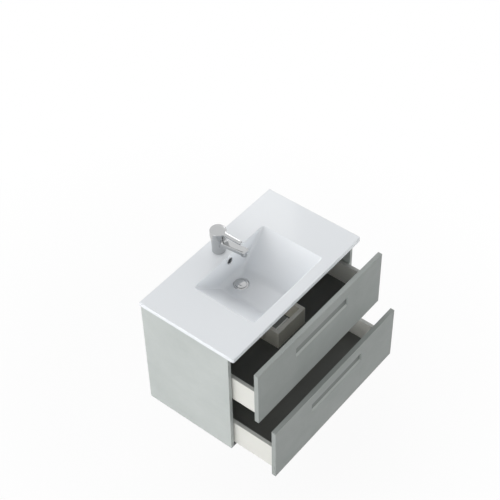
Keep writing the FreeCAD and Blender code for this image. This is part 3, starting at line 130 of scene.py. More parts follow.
class Value:
    """Output socket of a node, with arithmetic that adds Math nodes."""

    __add__, __radd__ = operator("ADD"), operator("ADD", True)
    __sub__, __rsub__ = operator("SUBTRACT"), operator("SUBTRACT", True)
    __mul__, __rmul__ = operator("MULTIPLY"), operator("MULTIPLY", True)
    __gt__, __lt__ = operator("GREATER_THAN"), operator("LESS_THAN")

    def __init__(self, graph: "Graph", socket: bpy.types.NodeSocket) -> None:
        """Keep the graph and the socket."""
        self.graph = graph
        self.socket = socket

    def math(self, operation: str, first: Number, second: Number = 0.0) -> "Value":
        """Result of one Math node."""
        return self.graph.node("ShaderNodeMath", {"operation": operation}, {0: first, 1: second})

    def __abs__(self) -> "Value":
        """Absolute value."""
        return self.math("ABSOLUTE", self)


class Graph:
    """Node tree of one material, of the world or of a rig."""

    family = "ShaderNode"

    def __init__(self, tree: bpy.types.NodeTree) -> None:
        """Empty a tree and keep it."""
        self.tree = tree
        tree.nodes.clear()

    def node(self, kind: str, settings: dict[str, Any] | None = None, sockets: dict[Any, Any] | None = None,
             output: int | str = 0) -> Value:
        """Add a node.

        Args:
            kind: Node type, without the family's name where it belongs to the tree's own family.
            settings: Properties that are set first.
            sockets: Input index or name to a number, a colour or a link.
            output: Output that the caller wants.

        Returns:
            That output.
        """
        made = self.tree.nodes.new(kind if "Node" in kind else self.family + kind)
        for key, setting in (settings or {}).items():
            setattr(made, key, setting)
        for key, given in (sockets or {}).items():
            if isinstance(given, Value):
                self.tree.links.new(given.socket, made.inputs[key])
            else:
                made.inputs[key].default_value = given
        return Value(self, made.outputs[output]) if len(made.outputs) else Value(self, made.inputs[0])

    def place(self, stretch: Point = (1, 1, 1), turn: Point = (0, 0, 0)) -> Value:
        """Object coordinates, stretched and then turned by radians about each axis."""
        here = self.node("TexCoord", output="Object")
        return self.node("Mapping", {}, {"Vector": here, "Scale": stretch, "Rotation": turn})

    def axes(self, output: str = "Object") -> tuple[Value, Value, Value]:
        """X, Y and Z of the coordinates of one output."""
        split = self.node("SeparateXYZ", {}, {0: self.node("TexCoord", output=output)})
        return tuple(Value(self, socket) for socket in split.socket.node.outputs)

    def noise(self, scale: float, detail: float = 3.0, rough: float = 0.55,
              where: Value | None = None) -> Value:
        """Noise around 0.5 with so many features per metre, at given or plain Object coordinates."""
        sockets = {"Vector": where or self.place(), "Scale": scale, "Detail": detail, "Roughness": rough}
        return self.node("TexNoise", {}, sockets)

    def ramp(self, factor: Value, *stops: tuple[float, float]) -> Value:
        """Grey ramp.

        Args:
            factor: What the ramp goes by.
            stops: Position and grey of each of its two stops.

        Returns:
            The grey.
        """
        made = self.node("ValToRGB", {}, {0: factor})
        for element, (position, grey) in zip(made.socket.node.color_ramp.elements, stops):
            element.position, element.color = position, (grey, grey, grey, 1.0)
        return made

    def mix(self, factor: Number, first: Any, second: Any) -> Value:
        """Blend of two colours."""
        ends = [end if isinstance(end, Value) else (*end, 1.0) for end in (first, second)]
        return self.node("Mix", {"data_type": "RGBA"}, {0: factor, 6: ends[0], 7: ends[1]}, 2)


class Rig(Graph):
    """Geometry Nodes tree with named inputs, baked to a plain mesh."""

    family = "GeometryNode"

    def __init__(self, name: str) -> None:
        """Start the tree with its geometry sockets.

        Args:
            name: Name of the tree.
        """
        super().__init__(bpy.data.node_groups.new(name, "GeometryNodeTree"))
        for way in ("OUTPUT", "INPUT"):
            self.tree.interface.new_socket("Geometry", in_out=way, socket_type="NodeSocketGeometry")
        self.entry = self.tree.nodes.new("NodeGroupInput")

    def size(self, name: str, kind: str = "NodeSocketFloat") -> Value:
        """Named input of the rig.

        Args:
            name: The input's name.
            kind: Its socket type.

        Returns:
            The input.
        """
        if name not in self.entry.outputs:
            self.tree.interface.new_socket(name, in_out="INPUT", socket_type=kind)
        return Value(self, self.entry.outputs[name])

    def ring(self, resolution: int, radius: Value) -> Value:
        """Round curve."""
        sockets = {"Resolution": resolution, "Radius": radius}
        return self.node("CurvePrimitiveCircle", {}, sockets)

    def close(self, shape: Value) -> "Rig":
        """End the tree with real meshes."""
        self.node("NodeGroupOutput", {}, {0: self.node("RealizeInstances", {}, {"Geometry": shape})})
        return self

    def repeat(self, points: Value, shape: Value, turn: Number | Point = ORIGIN) -> "Rig":
        """End the tree with a turned shape at each point."""
        sockets = {"Points": points, "Instance": shape, "Rotation": turn}
        return self.close(self.node("InstanceOnPoints", {}, sockets))

    def bake(self, sizes: dict[str, Any], base: bpy.types.Mesh | None = None) -> bpy.types.Mesh:
        """Run the rig.

        Args:
            sizes: Input names to their values.
            base: Mesh that the rig starts from, or None for an empty one.

        Returns:
            The plain mesh.
        """
        holder = linked("holder", bpy.data.meshes.new("start") if base is None else base)
        modifier = holder.modifiers.new("rig", "NODES")
        modifier.node_group = self.tree
        for item in self.tree.interface.items_tree:
            if item.in_out == "INPUT" and item.name in sizes:
                modifier[item.identifier] = sizes[item.name]
        return baked(holder)

    @classmethod
    def fasteners(cls) -> "Rig":
        """Tree that puts a fastener at each point, along the point's facing, with a seeded spin.

        Returns:
            The rig.
        """
        rig = cls("fasteners")
        model = {"Object": rig.size("Fastener", "NodeSocketObject"), "As Instance": True}
        shape = rig.node("ObjectInfo", {"transform_space": "ORIGINAL"}, model, "Geometry")
        vector = {"data_type": "FLOAT_VECTOR"}
        facing = rig.node("InputNamedAttribute", vector, {"Name": "facing"}, "Attribute")
        aim = rig.node("FunctionNodeAlignRotationToVector", {"axis": "Z"}, {"Vector": facing})
        most = {3: rig.size("Spin"), "Seed": 7}
        spin = rig.node("FunctionNodeRandomValue", {"data_type": "FLOAT"}, most, 1)
        about = rig.node("FunctionNodeAxisAngleToRotation", {}, {"Axis": Way.UP.value, "Angle": spin})
        turn = rig.node("FunctionNodeRotateRotation", {"rotation_space": "LOCAL"}, {0: aim, 1: about})
        return rig.repeat(rig.size("Geometry"), shape, turn)

    @classmethod
    def ribs(cls) -> "Rig":
        """Tree that stands grip ribs round a nut.

        Returns:
            The rig.
        """
        rig = cls("grip_ribs")
        circle = {"Vertices": rig.size("Count", "NodeSocketInt"), "Radius": rig.size("Radius")}
        post = {"Vertices": 10, "Radius": rig.size("Rib"), "Depth": rig.size("Height")}
        rib = rig.node("MeshCylinder", {"fill_type": "NGON"}, post, "Mesh")
        return rig.repeat(rig.node("MeshCircle", {}, circle), rib)

    @classmethod
    def thread(cls) -> "Rig":
        """Tree that winds a screw thread.

        Returns:
            The rig.
        """
        rig = cls("screw_thread")
        radius = rig.size("Radius")
        winding = {"Resolution": 32, "Rotations": rig.size("Turns"), "Start Radius": radius,
                   "End Radius": radius, "Height": rig.size("Height")}
        path = rig.node("CurveSpiral", {}, winding)
        crest = {"Curve": path, "Profile Curve": rig.ring(6, rig.size("Crest")), "Fill Caps": True}
        return rig.close(rig.node("CurveToMesh", {}, crest))

    @classmethod
    def screen(cls) -> "Rig":
        """Tree that fills a disc with the small rings of a jet screen.

        Returns:
            The rig.
        """
        rig = cls("jet_screen")
        reach, count = rig.size("Radius"), rig.size("Count", "NodeSocketInt")
        square = {"Size X": reach * 2, "Size Y": reach * 2, "Vertices X": count, "Vertices Y": count}
        grid = rig.node("MeshGrid", {}, square, "Mesh")
        spot = {0: rig.node("InputPosition")}
        away = rig.node("ShaderNodeVectorMath", {"operation": "LENGTH"}, spot, "Value")
        outside = {"Geometry": grid, "Selection": away > reach}
        kept = rig.node("DeleteGeometry", {"domain": "POINT"}, outside)
        wire = {"Curve": rig.ring(10, rig.size("Hole")), "Profile Curve": rig.ring(5, rig.size("Wire"))}
        return rig.repeat(kept, rig.node("CurveToMesh", {}, wire))


def linked(name: str, data: Any) -> bpy.types.Object:
    """New object in the scene.

    Args:
        name: Its name.
        data: A mesh, lamp or camera.

    Returns:
        The object.
    """
    made = bpy.data.objects.new(name, data)
    bpy.context.scene.collection.objects.link(made)
    return made


def baked(holder: bpy.types.Object) -> bpy.types.Mesh:
    """Plain mesh of an object with its modifiers, which is then removed.

    Args:
        holder: The object.

    Returns:
        The mesh.
    """
    mesh = bpy.data.meshes.new_from_object(holder.evaluated_get(bpy.context.evaluated_depsgraph_get()))
    bpy.data.objects.remove(holder)
    return mesh


def linear(red: int, green: int, blue: int) -> Colour:
    """Linear colour of an 8-bit display colour with levels above the ten darkest."""
    return tuple(((level / 255 + 0.055) / 1.055) ** 2.4 for level in (red, green, blue))


@dataclass(frozen=True)
class Finish:
    """Surface finish: a colour that drifts to a second one, with a fine grain."""

    name: str
    colour: Colour
    drift: Colour
    roughness: float
    metallic: float = 0.0
    coat: float = 0.0
    cloud: float = 9.0
    grain: float = 900.0
    grain_depth: float = 0.00002
    rough_swing: float = 0.08

    def colours(self, graph: Graph) -> Any:
        """Base colour's pattern."""
        return graph.mix(graph.noise(self.cloud, 4.0), self.colour, self.drift)

    def heights(self, graph: Graph) -> Value:
        """Relief's pattern."""
        return graph.noise(self.grain, 2.0)

    def roughs(self, graph: Graph) -> Value:
        """Roughness pattern."""
        swing = graph.noise(self.cloud * 3.0, 3.0) * (2 * self.rough_swing)
        return swing + (self.roughness - self.rough_swing)

    def material(self) -> bpy.types.Material:
        """Build the material, once.

        Returns:
            The material.
        """
        known = bpy.data.materials.get(self.name)
        if known:
            return known
        material = bpy.data.materials.new(self.name)
        material.use_nodes = True
        graph = Graph(material.node_tree)
        relief = {"Strength": 0.5, "Distance": self.grain_depth, "Height": self.heights(graph)}
        sockets = {
            "Base Color": self.colours(graph),
            "Roughness": self.roughs(graph),
            "Metallic": self.metallic,
            "Coat Weight": self.coat,
            "Coat Roughness": 0.08,
            "Normal": graph.node("Bump", {}, relief),
        }
        surface = graph.node("BsdfPrincipled", {}, sockets)
        graph.node("OutputMaterial", {}, {"Surface": surface})
        return material


@dataclass(frozen=True)
class Cement(Finish):
    """Matt cement-look laminate: clouds, trowel sweeps and small pits."""

    roughness: float = 0.55
    grain_depth: float = 0.00006
    rough_swing: float = 0.06

    def colours(self, graph: Graph) -> Any:
        """Clouds at two scales with slanting sweeps.

        Args:
            graph: The material's nodes.

        Returns:
            The colour.
        """
        clouds = graph.ramp(graph.noise(3.2, 5.0, 0.62), (0.30, 0.0), (0.72, 1.0))
        sweeps = graph.noise(7.0, 4.0, 0.6, graph.place((1.0, 1.0, 3.2), (0.5, 0.6, 0.2)))
        specks = graph.noise(95.0, 3.0, 0.7)
        blend = clouds * 0.55 + sweeps * 0.35 + specks * 0.22 - 0.1
        return graph.mix(blend, self.colour, self.drift)

    def heights(self, graph: Graph) -> Value:
        """Fine grain with pits."""
        pits = graph.ramp(graph.noise(210.0, 2.0), (0.28, 0.0), (0.42, 1.0))
        return graph.noise(self.grain, 2.0) * 0.4 + pits


@dataclass(frozen=True)
class RoutedCement(Cement):
    """Cement-look laminate with painted shade deep in the routed grooves and painted light on their ramps."""

    groove_shade: Colour = (0.2, 0.2, 0.2)
    ramp_light: Colour = (0.5, 0.5, 0.5)
    grooves: tuple[tuple[float, float], ...] = ()
    half: tuple[float, float] = (0.1652, 0.032)
    depths: tuple[float, float, float] = (0.0003, 0.0078, 0.0135)

    def colours(self, graph: Graph) -> Any:
        """Laminate, with painted light on each groove's ramp and painted shade on the deep part behind it.

        Args:
            graph: The material's nodes.

        Returns:
            The colour.
        """
        across, depth, height = graph.axes()
        surface, shallow, deep = self.depths
        shade = Cement.colours(self, graph)
        # first pass: painted light on the shallow ramp; second pass: painted shade on the deep part of each
        # groove
        for start, end, tone in ((surface, shallow, self.ramp_light), (shallow, deep, self.groove_shade)):
            mask: Number = 0.0
            for face, middle in self.grooves:
                inside = abs(depth - (face + (start + end) / 2)) < (end - start) / 2
                mask = inside * (abs(height - middle) < self.half[1]) + mask
            shade = graph.mix(mask * (abs(across) < self.half[0]), shade, tone)
        return shade


@dataclass(frozen=True)
class RimmedFoil(Finish):
    """Foil with a band of another colour along the top edges: grey on the drawer sides, and paler on the
    recess, where it is painted light.
    """

    roughness: float = 0.42
    grain: float = 1400.0
    grain_depth: float = 0.00004
    rim: Colour = (0.3, 0.3, 0.3)
    levels: tuple[float, ...] = ()
    band: float = 0.0009

    def colours(self, graph: Graph) -> Any:
        """Foil below, band at each top edge.

        Args:
            graph: The material's nodes.

        Returns:
            The colour.
        """
        height = graph.axes()[2]
        mask: Number = 0.0
        for level in self.levels:
            mask = (abs(height - level) < self.band) + mask
        return graph.mix(mask, Finish.colours(self, graph), self.rim)


@dataclass(frozen=True)
class Plated(Finish):
    """Bright plated sheet: fine drawing lines along its length and dull blotches."""

    metallic: float = 1.0
    rough_swing: float = 0.1
    lines: Point = (900.0, 12.0, 900.0)

    def colours(self, graph: Graph) -> Any:
        """Blotches with drawing lines."""
        blotches = graph.noise(self.cloud, 4.0) * 0.6
        return graph.mix(blotches + self.heights(graph) * 0.4, self.colour, self.drift)

    def heights(self, graph: Graph) -> Value:
        """Drawing lines."""
        return graph.noise(1.0, 2.0, 0.5, graph.place(self.lines))


SLOT_FINISHES: dict[str, Finish] = {
    "basin_white": Finish("cast_white", linear(235, 239, 243), linear(238, 241, 244), 0.22, coat=0.35,
                          cloud=5.0, grain=260.0, grain_depth=0.000012, rough_swing=0.04),
    "chrome": Finish("polished_chrome", (0.49, 0.50, 0.505), (0.53, 0.535, 0.54), 0.07, metallic=1.0,
                     cloud=30.0, grain_depth=0.000002, rough_swing=0.03),
    # darker copy of the side panels' cement laminate: painted shade on the fronts, which face away from the
    # light
    "cement_front": RoutedCement("front_laminate_painted_shade", linear(145, 151, 148), linear(170, 174, 172),
                                 # the first colour here is painted shade deep in the grooves, the second is
                                 # painted light on their ramps
                                 groove_shade=linear(129, 134, 131), ramp_light=linear(180, 185, 182),
                                 grooves=((-0.569, -0.002), (-0.649, -0.2795))),
    "cement_side": Cement("cement_laminate", linear(179, 185, 182), linear(202, 206, 204)),
    # dark grey carcass foil, made darker still as painted shade inside the cabinet
    "carcass_grey": Cement("carcass_foil", linear(92, 94, 93), linear(104, 106, 105), grain_depth=0.00004),
    "drawer_white": RimmedFoil("drawer_foil", linear(222, 222, 215), linear(228, 227, 222), cloud=14.0,
                               rim=linear(188, 190, 186), levels=(-0.0545, -0.332)),
    "drawer_floor": Finish("drawer_floor_foil", linear(98, 99, 96), linear(110, 111, 108), 0.5, cloud=14.0,
                           grain=700.0, grain_depth=0.00005),
    # the recess's paler rim colour is painted light on its top edges
    "recess_beige": RimmedFoil("recess_foil", linear(226, 223, 211), linear(231, 228, 217), cloud=20.0,
                               rim=linear(246, 244, 236), levels=(-0.0705,)),
    "runner_zinc": Plated("runner_plating", (0.52, 0.53, 0.55), (0.66, 0.67, 0.68), 0.36, cloud=40.0),
    "runner_black": Finish("runner_coating", (0.018, 0.018, 0.019), (0.03, 0.03, 0.03), 0.42, cloud=60.0,
                           grain=1600.0, grain_depth=0.00004),
    "fitting_zinc": Finish("cast_zinc", (0.55, 0.56, 0.57), (0.66, 0.67, 0.67), 0.34, metallic=1.0,
                           cloud=120.0, grain=800.0, rough_swing=0.1),
    "hanger_steel": Plated("hanger_plating", (0.50, 0.50, 0.49), (0.62, 0.61, 0.58), 0.38, cloud=90.0,
                           lines=(900.0, 900.0, 14.0)),
    "seal_rubber": Finish("black_rubber", (0.022, 0.022, 0.022), (0.035, 0.035, 0.034), 0.75, cloud=80.0,
                          grain_depth=0.00008),
    "trap_white": Finish("trap_moulding", linear(226, 227, 225), linear(233, 233, 231), 0.32, cloud=25.0,
                         grain_depth=0.00003),
    "brass": Finish("turned_brass", (0.66, 0.48, 0.20), (0.76, 0.60, 0.30), 0.3, metallic=1.0, cloud=110.0,
                    rough_swing=0.1),
    "cartridge_plastic": Finish("cartridge_moulding", (0.62, 0.62, 0.60), (0.70, 0.70, 0.68), 0.5, cloud=60.0,
                                grain=1200.0, grain_depth=0.00005),
    "bumper_clear": Finish("bumper_gel", (0.55, 0.57, 0.57), (0.64, 0.65, 0.65), 0.2, cloud=120.0,
                           grain=800.0, grain_depth=0.00003),
}


def rounded(points: Outline, steps: int = 5, closed: bool = False) -> Outline:
    """Round the corners of an outline.

    Args:
        points: Corners, each with a corner length as its third number where it is rounded.
        steps: Divisions of a corner.
        closed: Whether the outline comes back to its start.

    Returns:
        Points with the corners rounded.
    """
    count = len(points)
    made: Outline = []
    for index, point in enumerate(points):
        here = Vector(point[:2])
        ease = point[2] if len(point) > 2 else 0.0
        if not ease or (not closed and index in (0, count - 1)):
            made.append((here.x, here.y))
            continue
        before, after = Vector(points[index - 1][:2]), Vector(points[(index + 1) % count][:2])
        first, last = (here + (other - here).normalized() * min(ease, (other - here).length * 0.49)
                       for other in (before, after))
        for step in range(steps + 1):
            share = step / steps
            spot = first.lerp(here, share).lerp(here.lerp(last, share), share)
            made.append((spot.x, spot.y))
    return made


def settle(mesh: bpy.types.Mesh, name: str, nodes: tuple[str, ...]) -> bpy.types.Object:
    """Put a mesh into the scene in place of nodes, with the finish of their slot.

    Args:
        mesh: The piece's mesh.
        name: The piece's name.
        nodes: Nodes that it stands for; it rides on the body of the first.

    Returns:
        The piece.
    """
    mesh.materials.clear()
    mesh.materials.append(SLOT_FINISHES[NODE_SLOT[nodes[0]]].material())
    mesh.name = name
    piece = linked(name, mesh)
    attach(piece, NODE_BODY[nodes[0]])
    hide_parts(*nodes)
    LOG.info("%s: %d faces for %s", name, len(mesh.polygons), ", ".join(nodes))
    return piece


class Shell:
    """Mesh of one piece while it is made."""

    def __init__(self) -> None:
        """Start empty."""
        self.mesh = bmesh.new()

    def add(self, mesh: bpy.types.Mesh, move: Matrix | None = None) -> "Shell":
        """Take in a plain mesh.

        Args:
            mesh: The mesh.
            move: Where it goes, or None to leave it.

        Returns:
            The shell.
        """
        if move:
            mesh.transform(move)
        self.mesh.from_mesh(mesh)
        return self

    def skin(self, rings: list[list[Vector]], closed: bool = False) -> "Shell":
        """Join rings of equal length into a skin.

        Args:
            rings: Rings of points.
            closed: Whether the last ring joins the first; otherwise both ends are capped.

        Returns:
            The shell.
        """
        rows = [[self.mesh.verts.new(point) for point in ring] for ring in rings]
        count = len(rows[0])
        for index in range(len(rows) if closed else len(rows) - 1):
            row, other = rows[index], rows[(index + 1) % len(rows)]
            for k in range(count):
                self.mesh.faces.new((row[k], row[(k + 1) % count], other[(k + 1) % count], other[k]))
        if not closed:
            self.mesh.faces.new(reversed(rows[0]))
            self.mesh.faces.new(rows[-1])
        return self

    def lathe(self, points: Outline, steps: int, turns: int, middle: Point = ORIGIN,
              way: Point = Way.UP.value, closed: bool = False) -> "Shell":
        """Turn an outline about an axis.

        Args:
            points: Radius and height of each corner, with a corner length where it is rounded.
            steps: Divisions of a rounded corner.
            turns: Divisions round the axis.
            middle: Point of the axis at height 0.
            way: Axis.
            closed: Whether the outline is a loop.

        Returns:
            The shell.
        """
        basis = Vector(way).to_track_quat("Z", "Y").to_matrix()
        angles = [2 * math.pi * k / turns for k in range(turns)]
        rings = [[Vector(middle) + basis @ Vector((away * math.cos(angle), away * math.sin(angle), height))
                  for angle in angles] for away, height in rounded(points, steps, closed)]
        return self.skin(rings, closed)

    def block(self, low: Point, high: Point, ease: float) -> "Shell":
        """Box with rounded upright edges.

        Args:
            low: Lowest corner.
            high: Highest corner.
            ease: Corner length of the edges.

        Returns:
            The shell.
        """
        corners = ((low[0], low[1]), (high[0], low[1]), (high[0], high[1]), (low[0], high[1]))
        outline = rounded([(*corner, ease) for corner in corners], 3, True)
        return self.skin([[Vector((x, y, z)) for x, y in outline] for z in (low[2], high[2])])

    def plain(self, name: str, angle: float = SHARP_DEGREES) -> bpy.types.Mesh:
        """Close the shell into a plain mesh with its normals outwards.

        Args:
            name: Mesh name.
            angle: Edges sharper than this many degrees stay sharp.

        Returns:
            The mesh.
        """
        bmesh.ops.remove_doubles(self.mesh, verts=self.mesh.verts[:], dist=SHELL_MERGE)
        bmesh.ops.recalc_face_normals(self.mesh, faces=self.mesh.faces[:])
        mesh = smooth(self.mesh, name)
        mesh.set_sharp_from_angle(angle=math.radians(angle))
        return mesh

    def carve(self, tools: list["Shell"]) -> "Shell":
        """Cut other shells out of this one.

        Args:
            tools: Shells that are used up.

        Returns:
            The shell that is left.
        """
        holder = linked("holder", self.plain("solid"))
        cutters = [linked("cutter", tool.plain("cutter")) for tool in tools]
        for cutter in cutters:
            cut = holder.modifiers.new("cut", "BOOLEAN")
            cut.operation, cut.solver, cut.object = "DIFFERENCE", "EXACT", cutter
        result = baked(holder)
        for cutter in cutters:
            bpy.data.objects.remove(cutter)
        return Shell().add(result)

    def piece(self, name: str, node: str, angle: float = SHARP_DEGREES) -> bpy.types.Object:
        """Close the shell and let it stand for a node."""
        return settle(self.plain(name, angle), name, (node,))


def smooth(shell: bmesh.types.BMesh, name: str) -> bpy.types.Mesh:
    """Plain mesh of a shell, which is then freed, with smooth faces.

    Args:
        shell: The shell.
        name: Mesh name.

    Returns:
        The mesh.
    """
    mesh = bpy.data.meshes.new(name)
    shell.to_mesh(mesh)
    shell.free()
    mesh.polygons.foreach_set("use_smooth", [True] * len(mesh.polygons))
    return mesh


def merged(node: str) -> bmesh.types.BMesh:
    """Mesh of a node with its equal corners joined.

    Args:
        node: The node.

    Returns:
        A shell of its own.
    """
    shell = bmesh.new()
    shell.from_mesh(frame["nodes"][node].data)
    bmesh.ops.remove_doubles(shell, verts=shell.verts[:], dist=NODE_MERGE)
    return shell


def extent(spots: list[Vector]) -> tuple[Vector, Vector]:
    """Lowest and highest corners of the box round some points."""
    low, high = (Vector([pick(spot[axis] for spot in spots) for axis in range(3)]) for pick in (min, max))
    return low, high


def eased(width: float, *nodes: str, segments: int = 2, outer: bool = False) -> None:
    """Put copies of nodes with their sharp edges eased in their places.

    Args:
        width: Width of the easing.
        nodes: The nodes.
        segments: Divisions of the easing.
        outer: Whether only edges that reach a node's box are eased, and crossing bores inside stay sharp.
    """
    for node in nodes:
        shell = merged(node)
        bmesh.ops.dissolve_limit(shell, angle_limit=FLAT_ANGLE, verts=shell.verts[:], edges=shell.edges[:])
        low, high = extent([corner.co for corner in shell.verts])
        weight = shell.edges.layers.float.new("bevel_weight_edge")
        for edge in shell.edges:
            inner = all(low[axis] + BOX_MARGIN < corner.co[axis] < high[axis] - BOX_MARGIN
                        for corner in edge.verts for axis in range(3))
            edge[weight] = float(edge.calc_face_angle(0.0) > EASED_ANGLE and not (outer and inner))
        holder = linked("holder", smooth(shell, node))
        ease = holder.modifiers.new("ease", "BEVEL")
        ease.width, ease.segments, ease.limit_method = width, segments, "WEIGHT"
        level = holder.modifiers.new("level", "WEIGHTED_NORMAL")
        level.mode, level.weight = "FACE_AREA", 95
        settle(baked(holder), f"{node}_eased", (node,))


def solids(node: str) -> list[tuple[Vector, Vector]]:
    """Boxes of the separate solids of a node, in order of place.

    Args:
        node: The node.

    Returns:
        Lowest and highest corner of each.
    """
    shell = merged(node)
    left = set(shell.verts)
    boxes = []
    while left:
        edge = [left.pop()]
        found = list(edge)
        while edge:
            for link in edge.pop().link_edges:
                for corner in link.verts:
                    if corner in left:
                        left.remove(corner)
                        edge.append(corner)
                        found.append(corner)
        boxes.append(extent([corner.co for corner in found]))
    shell.free()
    return sorted(boxes, key=lambda box: [round(level, 5) for level in box[0]])


def seat(low: Vector, high: Vector, way: Way, behind: bool = False) -> tuple[Vector, Point]:
    """Middle of the face of a box that looks one way, or of the face behind it, with that way."""
    reach = [size * part * (-0.5 if behind else 0.5) for size, part in zip(high - low, way.value)]
    return (low + high) / 2 + Vector(reach), way.value


def fasten(places: list[tuple[Vector, Point]], shape: Shell, spin: float = FULL_TURN) -> bpy.types.Mesh:
    """Repeat a fastener.

    Args:
        places: Seat and facing of each.
        shape: The fastener, facing +Z with its seat at the origin.
        spin: Largest turn about its axis.

    Returns:
        The plain mesh of them all.
    """
    points = bpy.data.meshes.new("places")
    points.from_pydata([spot for spot, _ in places], [], [])
    facing = points.attributes.new("facing", "FLOAT_VECTOR", "POINT")
    facing.data.foreach_set("vector", [level for _, way in places for level in way])
    model = linked("fastener", shape.plain("fastener"))
    mesh = RIGS["fasteners"].bake({"Fastener": model, "Spin": spin}, points)
    bpy.data.objects.remove(model)
    return mesh


def cross(width: float, length: float, deep: float, top: float) -> list[Shell]:
    """Cutters of a cross recess that goes deep below a top level."""
    return [Shell().block((-x, -y, top - deep), (x, y, top + 0.001), width * 0.3)
            for x, y in ((length / 2, width / 2), (width / 2, length / 2))]


RIGS = {"fasteners": Rig.fasteners(), "ribs": Rig.ribs(), "thread": Rig.thread(), "screen": Rig.screen()}


@dataclass
class Waste:
    """Overflow ring, flanged waste, its seals and nut, and the lifting plug."""

    y: float = -0.170
    flange_top: float = -0.02651
    flange_low: float = -0.02951
    tube_end: float = -0.11101
    tube_radius: float = 0.0206
    bore: float = 0.0176
    flange_radius: float = 0.031
    guide: tuple[float, float] = (-0.05301, -0.04501)
    hub: tuple[float, float] = (0.00405, 0.007)
    plug_radius: float = 0.024
    plug_low: float = -0.02621
    plug_edge: float = 0.0025
    plug_crown: float = 0.006
    plug_stem: float = 0.004
    plug_stem_end: float = -0.06651
    ring_middle: Point = (0.0, -0.11453, 0.070)
    ring_way: Point = (0.0, -0.99851, 0.05461)

    @property
    def axis(self) -> Point:
        """Upright axis of the waste."""
        return 0.0, self.y, 0.0

    def build(self) -> None:
        """Build and dress all its pieces."""
        self.ring()
        self.tube()
        self.plug()
        eased(0.0004, "waste_gasket", "waste_back_seal")
        eased(0.0008, "waste_back_nut")

    def ring(self) -> None:
        """Overflow ring with a rolled lip."""
        profile = [(0.011, -0.006), (0.013, -0.006), (0.013, 0.0), (0.0155, 0.0), (0.0154, 0.0013, 0.0006),
                   (0.0143, 0.002, 0.001), (0.0122, 0.002, 0.001), (0.011, 0.0009, 0.001)]
        ring = Shell().lathe(profile, 5, 64, self.ring_middle, self.ring_way, True)
        ring.piece("overflow_lip", "overflow_ring")

    def tube(self) -> None:
        """Threaded tube with its flange and the guide of the plug's stem."""
        root, flange, under = self.tube_radius - 0.0004, self.flange_radius, self.flange_low
        profile = [(self.bore, self.tube_end), (root, self.tube_end), (root, under), (flange, under),
                   (flange, under + 0.0012, 0.0006), (flange - 0.0022, self.flange_top, 0.0016),
                   (self.tube_radius + 0.0005, self.flange_top, 0.002), (self.bore, under, 0.002)]
        slot = Shell().block((-0.0103, self.y + 0.012, -0.05001), (0.0103, self.y + 0.028, -0.04001), 0.0015)
        shell = Shell().lathe(profile, 5, 72, self.axis, closed=True).carve([slot])
        (low, high), (inner, outer) = self.guide, self.hub
        shell.lathe([(inner, low), (outer, low), (outer, high), (inner, high)], 1, 32, self.axis, closed=True)
        for start, end in ((-0.0182, -0.0065), (0.0065, 0.0182)):
            shell.block((start, self.y - 0.0025, low), (end, self.y + 0.0025, high), 0.0004)
        sizes = {"Radius": self.tube_radius - 0.0005, "Turns": 18.0, "Height": 0.036, "Crest": 0.0006}
        shell.add(RIGS["thread"].bake(sizes), Matrix.Translation((0.0, self.y, self.tube_end + 0.001)))
        shell.piece("waste_tube", "waste_body")

    def plug(self) -> None:
        """Domed plug on its stem."""
        edge, low, radius = self.plug_low + self.plug_edge, self.plug_low, self.plug_radius
        stem, end = self.plug_stem, self.plug_stem_end
        dome = [(radius * share, edge + self.plug_crown * (1 - share ** 2.6))
                for share in (0.97, 0.9, 0.8, 0.7, 0.6, 0.5, 0.4, 0.3, 0.2, 0.1)]
        profile = [(0.0, end), (stem, end, 0.0008), (stem, low), (radius - 0.0025, low, 0.0005),
                   (radius, low + 0.00125, 0.0006), (radius, edge - 0.0001, 0.0008), *dome,
                   (0.0, edge + self.plug_crown)]
        Shell().lathe(profile, 5, 96, self.axis).piece("plug_dome", "waste_plug", 50.0)


